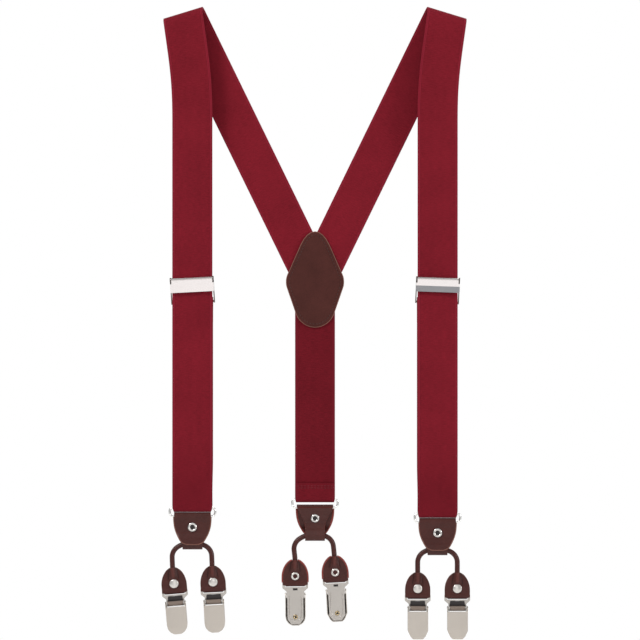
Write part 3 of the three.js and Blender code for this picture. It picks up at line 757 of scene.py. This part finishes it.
print("stitches", patch("patch_inner", 4.2, -1), patch("patch_outer", 9.4, 1))

# %% [markdown]
# ## Wires and cords
# A round wire or a rolled cord is a grid rolled into a tube round its path. The columns go round
# and the rows go along; merging the doubles closes the seam.

# %% Tubes
def smooth_path(points, step):
    """A Catmull-Rom curve through the points, cut into short steps."""
    last = len(points) - 1
    found = []
    for i in range(last):
        p0, p1, p2, p3 = (points[min(max(i + k, 0), last)] for k in (-1, 0, 1, 2))
        pieces = max(1, round((p2 - p1).length / step))
        for j in range(pieces):
            t = j / pieces
            found.append(0.5 * (2 * p1 + (p2 - p0) * t + (2 * p0 - 5 * p1 + 4 * p2 - p3) * t * t
                                + (3 * p1 - p0 - 3 * p2 + p3) * t ** 3))
    return [*found, points[-1].copy()]


def tube(points, radius, sides, closed=False, flat=Vector((0, 1, 0))):
    """Rolls a grid round a path. `flat` is a direction that the path never follows."""
    line = [*points, points[0]] if closed else points
    reach = distances(line)
    last = len(line) - 1

    def place(s, t):
        i = min(bisect.bisect_left(reach, s - 0.01), last)
        if closed:
            along = points[(i + 1) % last] - points[(i - 1) % last]
        else:
            along = line[min(i + 1, last)] - line[max(i - 1, 0)]
        side = along.normalized().cross(flat).normalized()
        angle = t * math.pi
        size = radius(s / reach[-1]) if callable(radius) else radius
        point = line[i] + (side * math.cos(angle) + flat * math.sin(angle)) * size
        return point, math.pi * size

    bm = strip(reach, sides, place)
    bmesh.ops.remove_doubles(bm, verts=bm.verts, dist=0.005)
    if not closed:
        bmesh.ops.holes_fill(bm, edges=[e for e in bm.edges if e.is_boundary])
    return bm


# %% [markdown]
# ## Turned parts
# Eyelets and rivet caps are turned: half of the outline is drawn once and spun round its axis.

# %% Turned parts
def turned(profile, segments=40):
    """Spins a profile of (radius, y) about the y axis."""
    bm = bmesh.new()
    verts = [bm.verts.new((r, y, 0)) for r, y in profile]
    edges = [bm.edges.new(pair) for pair in zip(verts, verts[1:])]
    bmesh.ops.spin(bm, geom=[*verts, *edges], cent=(0, 0, 0), axis=(0, 1, 0),
                   angle=2 * math.pi, steps=segments, use_merge=True)
    bmesh.ops.remove_doubles(bm, verts=bm.verts, dist=0.005)
    return bm


def arc(centre, radius, start, stop, steps):
    """Points on an arc in the (radius, y) plane, for a rounded profile."""
    return [(centre[0] + radius[0] * math.cos(math.radians(start + (stop - start) * i / steps)),
             centre[1] + radius[1] * math.sin(math.radians(start + (stop - start) * i / steps)))
            for i in range(steps + 1)]


EYELET = [*arc((2.95, -1.95), (1.1, 0.95), 0, -180, 10), (1.85, 1.9),
          *arc((2.75, 1.95), (0.9, 0.6), 180, 0, 8), (2.1, 1.95), (2.1, -1.95), (4.05, -1.95)]
CAP = [(0, -3.15), (1.2, -3.1), (2.2, -2.95), *arc((3.0, -2.1), (0.95, 0.7), -75, 0, 6),
       (3.9, -1.9), (1.9, -1.85), (1.9, 1.85), *arc((2.7, 1.9), (0.85, 0.6), 0, 180, 8),
       (1.7, 1.2), (1.6, 0.5), (0, 0.4)]

# %% [markdown]
# ## Rounding the pressed parts
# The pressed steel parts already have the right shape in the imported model, but their edges are
# knife-sharp. A copy of each is merged, its flat areas are joined into single faces, and a small
# bevel gives each edge the soft line that catches the light.

# %% Softened copies of pressed parts
def sliced(bm, height, normal=(0, 0, 1)):
    """Cuts every face along a plane, and keeps both sides."""
    bmesh.ops.bisect_plane(bm, geom=[*bm.verts, *bm.edges, *bm.faces],
                           plane_co=(0, 0, height), plane_no=normal)


def softened(node, finish, width, band=None):
    """A node with soft edges. `band` is a height, a normal and the finish below that plane."""
    source = frame["nodes"][node]
    bm = bmesh.new()
    bm.from_mesh(source.data)
    bmesh.ops.scale(bm, vec=(1000, 1000, 1000), verts=bm.verts)
    bmesh.ops.remove_doubles(bm, verts=bm.verts, dist=0.004)
    bmesh.ops.dissolve_limit(
        bm, angle_limit=math.radians(1.5), verts=bm.verts, edges=bm.edges)
    sharp = [e for e in bm.edges
             if len(e.link_faces) == 2 and e.calc_face_angle(0) > math.radians(50)]
    bevelled(bm, sharp, width, 3, clamp=True)
    if band:
        height, normal, second = band
        sliced(bm, height, normal)
        bm.normal_update()
        for face in bm.faces:
            below = (face.calc_center_median() - Vector((0, 0, height))).dot(normal) < 0
            if below and face.normal.y < -0.9 and face.calc_area() > 20:
                face.material_index = 1
        finish = [finish, second]
    return put(
        bm, f"{node}_pressed", source["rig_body"], finish, node, crisp=40,
        flat_above=1.0)


# %% [markdown]
# ## Adjusters
# Each adjuster is a pressed frame with a lever that flips up to free the webbing. The lever's
# plate is polished nickel, and the lower half of the right one is brushed for engraving.

# %% Adjusters
for side in ("left", "right"):
    # The frames' near-black colour is painted shade.
    softened(f"{side}_adjuster_frame", shaded_frame_finish, 0.18)
tilt = TILT["right"]
middle = ADJUSTER_Z + 3.4
softened("left_adjuster_lever", lever_plate, 0.3)
softened("right_adjuster_lever", lever_plate, 0.3, band=(
    middle + STRAP_X * math.tan(tilt), Vector((math.sin(tilt), 0, math.cos(tilt))),
    brushed_band))

# %% [markdown]
# ## The three ends
# The leather and metal at each end hang from each other, so they are drawn in their own frames:
# the ring's top bar, its lower bar, the top of the cord and a clip's loop bar.

# %% Local frames
def slide(x=0.0, y=0.0, z=0.0): return Matrix.Translation((x, y, z))
def spun(angle, axis): return Matrix.Rotation(angle, 4, axis)
def swung(x, z, angle):
    return x * math.cos(angle) - z * math.sin(angle), x * math.sin(angle) + z * math.cos(angle)


def frames(end):
    facing = 1 if end["front"] else -1
    hang = slide(end["x"], facing * (TURN_MID - WEB_MID), end["bottom"] + TURN_MID + WEB_THICK / 2)
    if facing < 0:
        hang = hang @ spun(math.pi, "Z")
    low = hang @ slide(z=-RING_HEIGHT)
    rock = facing * math.radians(end["rock"])
    arch = low @ slide(-ARCH_R * math.sin(rock), CORD_OFFSET,
                       CORD_Z - ARCH_R * (1 - math.cos(rock)))
    clips = []
    for k in (0, 1):
        side = (-1 if k == 0 else 1) * facing
        lean = facing * math.radians(end["lean"][k])
        jx, jz = swung(side * LEG_X, -LOBE_DROP + LOBE_HEIGHT + 1, rock)
        bx, bz = swung(0, -LOBE_HEIGHT - 1, lean)
        clips.append(arch @ slide(jx + bx, 0, jz + bz) @ spun(-lean, "Y"))
    return hang, low, arch, rock, clips


def move(bm, matrix):
    bmesh.ops.transform(bm, matrix=matrix, verts=bm.verts)
    return bm


def rod(radius, length, segments):
    """A closed round bar along z."""
    bm = bmesh.new()
    bmesh.ops.create_cone(bm, cap_ends=True, segments=segments, radius1=radius,
                          radius2=radius, depth=length)
    return bm


def disc(radius, y, z, segments):
    """A round face in the front view."""
    bm = bmesh.new()
    bmesh.ops.create_circle(bm, cap_ends=True, segments=segments, radius=radius)
    return move(bm, slide(y=y, z=z) @ spun(-math.pi / 2, "X"))


def pulled(bm, face, y):
    """Extrudes a face along y."""
    made = bmesh.ops.extrude_face_region(bm, geom=[face])["geom"]
    bmesh.ops.translate(bm, vec=(0, y, 0),
                        verts=[v for v in made if isinstance(v, bmesh.types.BMVert)])


# %% [markdown]
# ## Rings
# The ring is bent from round wire, with soft corners and a butt joint that plating hides.

# %% Rings
def ring_line():
    points = []
    x, top = RING_HALF - RING_CORNER, -RING_CORNER
    for cx, cz, start in ((x, top, 0), (-x, top, 90), (-x, RING_CORNER - RING_HEIGHT, 180),
                          (x, RING_CORNER - RING_HEIGHT, 270)):
        for i in range(9):
            angle = math.radians(start + i * 90 / 8)
            points.append(Vector((cx + RING_CORNER * math.cos(angle), 0,
                                  cz + RING_CORNER * math.sin(angle))))
    return points


# %% [markdown]
# ## Leather tabs
# A tab is one strap of leather folded over the ring's lower bar. Its front leaf is cut to a shield;
# its back leaf narrows to a strip that goes round the cord and is caught behind the shield. It is
# made as two strips whose width changes along the way, the shield with the fold and the strip
# behind it, each bent. The eyelet holds both leaves.

# %% The tab
def between(z, table):
    """A smooth value at height z from rows of (height, value), highest first."""
    for i, ((z0, a), (z1, b)) in enumerate(zip(table, table[1:])):
        if z >= z1:
            before, after = table[max(i - 1, 0)], table[min(i + 2, len(table) - 1)]
            t = clamped((z0 - z) / (z0 - z1))
            leave = (b - before[1]) / (before[0] - z1) * (z0 - z1)
            arrive = (after[1] - a) / (z0 - after[0]) * (z0 - z1)
            return (a * (1 + 2 * t) * (1 - t) ** 2 + leave * t * (1 - t) ** 2
                    + b * (3 - 2 * t) * t * t - arrive * t * t * (1 - t))
    return table[-1][1]


def leaf(points, width, hole, columns, step, across=None, edges=None):
    """Bends a strip along smooth points (y, z) with a half width for each distance."""
    line = smooth_path([Vector((0, y, z)) for y, z in points], step)
    reach = distances(line)

    def place(s, t):
        i = min(bisect.bisect_left(reach, s - 0.01), len(line) - 1)
        half = width(s, reach[-1], line[i])
        point = line[i] + Vector((t * half, 0, 0))
        if across:
            point = across(point, s, reach[-1])
        return point, half

    if edges is not None:
        edges += [[place(s, t)[0].copy() for s in reach] for t in (-1, 1)]
    bm = strip(reach, columns, place)
    if hole is not None:
        height, radius = hole
        gone = [f for f in bm.faces
                if math.hypot(f.calc_center_median().x, f.calc_center_median().z - height) < radius]
        bmesh.ops.delete(bm, geom=gone, context="FACES")
    return bm


def bead(lines, matrix, name, body, finish, radius):
    """Edge paint stands a little proud of the leather, as a bead along the cut."""
    bm = bmesh.new()
    for points in lines:
        part = tube(smooth_path(points[::2], 0.9), radius, 8)
        flat = bpy.data.meshes.new("bead")
        part.to_mesh(flat)
        part.free()
        bm.from_mesh(flat)
        bpy.data.meshes.remove(flat)
    put(move(bm, matrix), name, body, finish, crisp=80)


def shield_half(z):
    """Half of the shield's width at a height, with a rounded bottom."""
    half = between(z, [(3, 15.9), (-4, 15.8), (-9, 15.2), (-14, 13.7), (-19, 11.2),
                       (SHIELD_Z, 8.0)])
    left = z - SHIELD_Z
    if left < 3:
        half *= 0.62 + 0.38 * math.sqrt(max(1 - (1 - left / 3) ** 2, 0))
    return half


def back_half(z):
    """Half of the strip's width behind the shield."""
    return between(z, [(3, 15.7), (-1, 15.2), (-5, 13.2), (-9, 11.1), (-13, 9.4), (-16.5, 8.65),
                       (-18, 8.6), (-40, 8.6)])


LOOP_FRONT = CORD_OFFSET - CORD_R - 0.3 - TAB_THICK / 2
LOOP_BACK = CORD_OFFSET + CORD_R + 0.3 + TAB_THICK / 2
LOOP_LOW = CORD_Z - 1.59 - CORD_R * 1.09 - 0.45 - TAB_THICK / 2
FOLD = 1.3 + TAB_THICK / 2
EYELET_HOLE, TAIL_HALF = 2.7, 8.6  # the hole in both leaves, and half the width of the tucked end
TAB_FRONT = [
    (LOOP_FRONT - 1.95, SHIELD_Z), (LOOP_FRONT - 1.9, -21.5), (LOOP_FRONT - 1.45, -18.6),
    (-0.95, -14.2), (-0.9, -9), (-0.95, -5), (-FOLD + 0.3, -1.8), (-FOLD, 0.2),
    (-FOLD * 0.7, FOLD * 0.72), (0, FOLD), (FOLD * 0.7, FOLD * 0.72), (FOLD, 0.2)]
TAB_BACK = [
    (FOLD, 0.2), (FOLD - 0.3, -1.8), (0.95, -5), (0.9, -9), (0.95, -14), (LOOP_BACK - 0.9, -17.8),
    (LOOP_BACK, CORD_Z + 1), (LOOP_BACK, CORD_Z - 1.5), (CORD_OFFSET + 1.7, LOOP_LOW + 0.5),
    (CORD_OFFSET, LOOP_LOW), (CORD_OFFSET - 1.7, LOOP_LOW + 0.5), (LOOP_FRONT, CORD_Z - 1.5),
    (LOOP_FRONT, CORD_Z + 1), (LOOP_FRONT + 0.5, -19.3), (-0.4, -17.0)]


def tab(end, low):
    """The tab's two leaves and its eyelet."""
    name = end["name"]
    body = f"{name}_tab"
    edge = cut_edge if end["front"] else painted_edge
    rise = SLACK if end["front"] else 0
    fold = [(y, z + (rise if z > 0.3 and abs(y) < FOLD else 0)) for y, z in TAB_FRONT]
    sides = []
    hole = (EYELET_Z, EYELET_HOLE)
    front = leaf(fold, lambda s, total, p: shield_half(p.z), hole, 34, 0.7, edges=sides)
    back = leaf(
        TAB_BACK, lambda s, total, p: back_half(p.z) if s < total - 8.5 else TAIL_HALF, hole,
        34, 0.7)
    for part, bm in (("shield", front), ("strip", back)):
        skin = leather if part == "shield" else inner_leather
        piece = put(move(bm, low), f"{name}_tab_{part}", body, [skin, edge], body)
        thicken(piece, TAB_THICK, 0.22, rim=1, even=False)
    foot = [(sides[0][0] + (sides[1][0] - sides[0][0]) * i / 8) for i in range(9)]
    outer = [[p for p in side if p.y < 0 and p.z < 0] for side in sides]
    bead([*outer, foot], low, f"{name}_tab_edge_paint", body, edge, 0.8 if end["front"] else 0.98)
    # A dark disc inside the eyelet paints the shade in its hole.
    bm = move(rod(1.84, 1.2, 24), low @ slide(z=EYELET_Z) @ spun(math.pi / 2, "X"))
    put(bm, f"{name}_tab_eyelet_shade_disc", body, shade_black_metal)
    bm = move(turned(EYELET), low @ slide(z=EYELET_Z))
    put(bm, f"{name}_tab_eyelet_turned", body, eyelet_metal, f"{name}_tab_eyelet")


# %% [markdown]
# ## Runners
# The runner is a rolled cord that slides through the tab, with a lobe of leather folded round the
# loop bar of each clip. The cord goes in between the lobe's two leaves, which swell over it.

# %% The runner
def leg_path():
    """Half of the cord's middle line, from the top of the arch down one leg."""
    found = [Vector((ARCH_R * math.sin(a), 0, ARCH_R * (math.cos(a) - 1)))
             for a in (ARCH_HALF * i / 10 for i in range(11))]
    start = found[-1].copy()
    bend = (LEG_X - start.x) / (1 - math.sin(ARCH_HALF))
    for i in range(1, 11):
        a = ARCH_HALF + (math.pi / 2 - ARCH_HALF) * i / 10
        found.append(Vector((start.x + bend * (math.sin(a) - math.sin(ARCH_HALF)), 0,
                             start.z + bend * (math.cos(a) - math.cos(ARCH_HALF)))))
    return found


def lobe_half(z, front):
    """Half of the lobe's width: a pointed arch on the front ends, a pear on the rear one."""
    if z < -0.75:
        return 8.5
    if front:
        return between(z, [(20.6, 1.4), (20.0, 3.4), (18.4, 5.8), (16, 7.8), (13, 9.4),
                           (9.5, 10.5), (6, 10.95), (-0.75, 10.9)])
    return between(z, [(20.6, 1.8), (20.0, 3.6), (18.4, 5.8), (16, 7.9), (13, 9.5), (9.5, 10.6),
                       (6, 11.0), (-0.75, 10.9)])


LOBE = [(-0.95, LOBE_HEIGHT), (-0.95, 12), (-0.95, 6.5), (-0.98, 2.9), (-1.8, 0.7), (-1.35, -1.3),
        (0, -1.86), (1.35, -1.3), (1.8, 0.7), (0.98, 2.9), (0.95, 6.5), (0.95, 12),
        (0.95, LOBE_HEIGHT)]


def swell(point, s, total):
    """Pushes a leaf out over the cord that lies inside it, with a shallow groove beside the ridge.
    """
    side = 1 if point.y > 0 else -1
    ridge = (2.35 * math.exp(-(point.x / 2.0) ** 2)
             - 0.4 * math.exp(-((abs(point.x) - 4.3) / 1.1) ** 2)) * eased((point.z - 8.5) / 5)
    crown = 0.35 * math.exp(-(point.x / 7.5) ** 2) * eased((point.z - 2) / 5)
    point.y += side * (ridge + crown)
    return point


def runner(end, arch, rock, clips):
    """The rolled cord, and the lobe, rivet and edge paint above each clip."""
    name = end["name"]
    body = f"{name}_runner"
    half = leg_path()
    whole = [Vector((-p.x, 0, p.z)) for p in reversed(half[1:])] + half
    lines = [arch @ spun(-rock, "Y") @ p for p in whole]
    tips = [[clip @ Vector((0, 0, z)) for z in (22.5, 19.5, 16, 12.6)] for clip in clips]
    first, other = sorted(tips, key=lambda t: (t[0] - lines[0]).length)
    line = smooth_path([*reversed(first), *lines[::2], *other], 1.2)
    flat = (arch.to_3x3() @ Vector((0, 1, 0))).normalized()

    def thick(share):
        away = min(share, 1 - share)
        return CORD_R * (0.35 + 0.65 * math.sin(min(away / 0.035, 1) * math.pi / 2))

    put(tube(line, thick, 22, flat=flat), f"{name}_runner_cord", body, leather, body,
        crisp=80)
    edge = cut_edge if end["front"] else painted_edge
    for letter, clip in zip("ab", clips):
        sides = []
        bm = leaf(LOBE, lambda s, total, p: lobe_half(p.z, end["front"]), None, 30, 0.6, swell,
                  sides)
        if not end["front"]:
            lines = [[p for p in side if p.z > 1.2 and p.y * way > 0]
                     for side in sides for way in (-1, 1)]
            bead(lines, clip, f"{name}_lobe_{letter}_edge_paint", body, edge, 0.84)
        piece = put(move(bm, clip), f"{name}_lobe_{letter}", body, [lobe_leather, edge], body,
                    crisp=50)
        thicken(piece, LOBE_THICK, 0.35, rim=1, even=False)
        bm = move(turned(CAP), clip @ slide(z=RIVET_RISE))
        put(bm, f"{name}_rivet_{letter}_cap", body, bright_satin, f"{name}_rivet_{letter}")
        # A dark disc inside each rivet paints the shade in its hole.
        put(move(disc(1.62, 0.9, RIVET_RISE, 24), clip), f"{name}_rivet_{letter}_bore", body,
            shade_black_metal)


# %% [markdown]
# ## Clips
# A clip has a pressed base with a toothed plastic pad, a sprung jaw, and a cover that flips on a
# pin. The cover is a shallow box, rounded where it was drawn over the die, and satin plated.

# %% The clip's cover
COVER_HALF, COVER_TOP, COVER_LOW = 8.85, -8.2, -36.7  # half width, top and bottom
COVER_FRONT, COVER_BACK = -8.2, -1.0                  # along y
COVER_STEP, WINDOW_LOW, WINDOW_HALF = -13.6, -12.9, 8.5


def cover(clip, name, round_end):
    """A box open at the back: outline, walls, rounded front edges, then the shaped top."""
    low = [(COVER_HALF, -28.2, 4), (8.2, -32, 3), (6.1, -34.9, 3), (3.0, COVER_LOW, 3)] if (
        round_end) else [(COVER_HALF, -29.4, 3), (6.5, -34.4, 3), (4.3, COVER_LOW, 2)]
    bm = bmesh.new()
    face = rounded(bm, both_sides([(COVER_HALF, COVER_TOP, 0.4), *low]), COVER_BACK, 6)
    if face.normal.y > 0:
        bmesh.ops.reverse_faces(bm, faces=[face])
    deep = COVER_FRONT - COVER_BACK
    pulled(bm, face, deep)
    bm.normal_update()
    back = [f for f in bm.faces
            if f.calc_center_median().y > COVER_BACK - 0.01 and abs(f.normal.y) > 0.9]
    bmesh.ops.delete(bm, geom=back, context="FACES_ONLY")
    front = [e for e in bm.edges
             if all(v.co.y < COVER_FRONT + 0.01 for v in e.verts)
             and min(v.co.z for v in e.verts) < COVER_TOP - 0.1]
    bevelled(bm, front, 1.15, 5, clamp=True)
    for height in (-9.2, -10.4, -11.6, WINDOW_LOW, COVER_STEP, -16, -20, -24):
        sliced(bm, height)
    window = [f for f in bm.faces if f.calc_center_median().z > WINDOW_LOW
              and abs(f.calc_center_median().x) < WINDOW_HALF]
    bmesh.ops.delete(bm, geom=window, context="FACES")
    for vert in bm.verts:
        share = clamped((vert.co.z - COVER_STEP) / 5) ** 2
        front_y = COVER_FRONT + share * 1.9
        back_y = COVER_BACK - share * 1.5
        vert.co.y = back_y + (vert.co.y - COVER_BACK) * (front_y - back_y) / deep
    piece = put(move(bm, clip), f"{name}_cover_drawn", f"{name}_cover", satin, f"{name}_cover",
                crisp=50)
    shell = piece.modifiers.new("sheet", "SOLIDIFY")
    shell.thickness, shell.offset = 0.8 * MM, -1.0
    lip = tube([Vector((x, -7.25, -12.7)) for x in (-7.7, -7.3, -4, 0, 4, 7.3, 7.7)],
               lambda share: 0.85 if 0.02 < share < 0.98 else 0.5, 16)
    put(move(lip, clip), f"{name}_cover_lip", f"{name}_cover", nickel)


def paint_neck_shade(clip, name):
    """A near-black plate lying in the neck, whose colour paints the shade seen through the cover's
    window.
    """
    bm = bmesh.new()
    pulled(bm, rounded(bm, both_sides([(6.2, -4.1, 0.6), (6.7, -8.6, 0.6)]), -1.35, 4), 0.55)
    put(move(bm, clip), f"{name}_neck_shade_plate", name, shade_black_metal)


def plate_details(clip, name):
    """The raised outline pressed into the back plate, and the brass eyelet that holds the pad."""
    corners = [(5.1, -11), (5.1, -27), (2.9, -31.5), (-2.9, -31.5), (-5.1, -27), (-5.1, -11)]
    line = smooth_path([Vector((x, 0.36, z)) for x, z in corners], 0.8)
    put(move(tube(line, 0.34, 10), clip), f"{name}_pressed_outline", name, plated)
    ring = [(0.95, 0.3), (0.95, 0.75), *arc((1.55, 0.6), (0.6, 0.42), 150, 0, 6), (2.15, 0.3)]
    put(move(turned(ring, 24), clip @ slide(z=PAD_EYELET_Z)), f"{name}_pad_eyelet", name, brass)
    put(move(disc(0.98, 0.66, PAD_EYELET_Z, 20), clip), f"{name}_pad_stud", name, plastic)


def pin(clip, name):
    """The hinge pin, a short round bar with its ends rounded over."""
    bm = rod(0.65, 18.6, 20)
    rims = [e for e in bm.edges if abs(e.verts[0].co.z - e.verts[1].co.z) < 0.01]
    bevelled(bm, rims, 0.3, 3)
    move(bm, clip @ slide(y=PIN_Y, z=PIN_Z) @ spun(math.pi / 2, "Y"))
    put(bm, f"{name}_pin_turned", name, nickel, f"{name}_pin")


# %% Assemble the three ends
for end in ENDS:
    name = end["name"]
    hang, low, arch, rock, clips = frames(end)
    bm = tube(ring_line(), 1.0, 18, closed=True)
    put(move(bm, hang), f"{name}_ring_wire", f"{name}_ring", nickel, f"{name}_ring")
    tab(end, low)
    runner(end, arch, rock, clips)
    for letter, clip in zip("ab", clips):
        tag = f"{name}_clip_{letter}"
        softened(f"{tag}_base", plated, 0.2)
        softened(f"{tag}_jaw", smoked, 0.15)
        softened(f"{tag}_pad", plastic, 0.2)
        plate_details(clip, tag)
        pin(clip, tag)
        # a near-black plate in the neck paints the shade there
        paint_neck_shade(clip, tag)
        cover(clip, tag, name == "left" or (name == "rear" and letter == "a"))
    print(name, "end done")

# %% [markdown]
# ## Studio
# A white room and four soft lamps, a strong one from the upper left and weaker ones in front, on
# the right and behind, show the weave and the gloss. The long lens keeps the straps parallel.

# %% Floor, light and camera
bm = bmesh.new()
bmesh.ops.create_grid(bm, x_segments=1, y_segments=1, size=1.1)
floor_mesh = bpy.data.meshes.new("studio_floor")
bmesh.ops.translate(bm, vec=(0, 0, -0.72), verts=bm.verts)
bm.to_mesh(floor_mesh)
bm.free()
floor = shown("studio_floor", floor_mesh)
pale = Finish("pale floor")
pale.wear(pale.mix(pale.noise(30, 3), (0.80, 0.80, 0.79), (0.86, 0.86, 0.85)), 0.8)
floor_mesh.materials.append(pale.material)

world = bpy.data.worlds.new("white room")
bpy.context.scene.world = world
world.use_nodes = True
room = world.node_tree
walls = room.nodes["Background"]
direction = room.nodes.new("ShaderNodeTexCoord").outputs["Generated"]
height = room.nodes.new("ShaderNodeSeparateXYZ")
room.links.new(direction, height.inputs[0])
shade = room.nodes.new("ShaderNodeValToRGB")
for place, grey in ((0.0, 0.1), (0.42, 0.16), (0.5, 0.26), (0.64, 0.6), (1.0, 1.0)):
    stop = shade.color_ramp.elements.new(place) if 0 < place < 1 else shade.color_ramp.elements[
        round(place)]
    stop.color = (grey, grey, grey, 1)
level = room.nodes.new("ShaderNodeMapRange")
level.inputs["From Min"].default_value = -1
room.links.new(height.outputs["Z"], level.inputs["Value"])
room.links.new(level.outputs[0], shade.inputs[0])
seen = room.nodes.new("ShaderNodeLightPath").outputs["Is Camera Ray"]
white = room.nodes.new("ShaderNodeMix")
white.data_type = "RGBA"
white.inputs[7].default_value = (1, 1, 1, 1)
room.links.new(seen, white.inputs[0])
room.links.new(shade.outputs[0], white.inputs[6])
room.links.new(white.outputs[2], walls.inputs["Color"])


def lamp(name, where, size, power):
    light = bpy.data.lights.new(name, "AREA")
    light.shape, light.size, light.energy = "DISK", size, power
    holder = shown(name, light)
    holder.location = where
    aim = Vector((0, 0, -0.3)) - holder.location
    holder.rotation_euler = aim.to_track_quat("-Z", "Y").to_euler()


lamp("key", Vector((-1.7, -1.6, 1.5)), 0.9, 50)
lamp("front", Vector((0.0, -3.3, -0.1)), 1.3, 6)
lamp("fill", Vector((1.9, -0.9, 0.1)), 0.9, 20)
lamp("back", Vector((0.4, 1.9, 1.2)), 1.2, 22)

lens = bpy.data.cameras.new("long lens")
camera = shown("long lens", lens)
bpy.context.scene.camera = camera
DISTANCE, VIEW_WIDTH, SENSOR = 2.6, 0.557, 36.0  # the first two in metres
lens.sensor_width = SENSOR
lens.lens = SENSOR * DISTANCE / VIEW_WIDTH
camera.location = (0.00435, -DISTANCE, -0.267)
camera.rotation_euler = (math.pi / 2, 0, 0)
bpy.context.scene.view_settings.view_transform = "Standard"
print("camera", round(lens.lens), "mm lens")
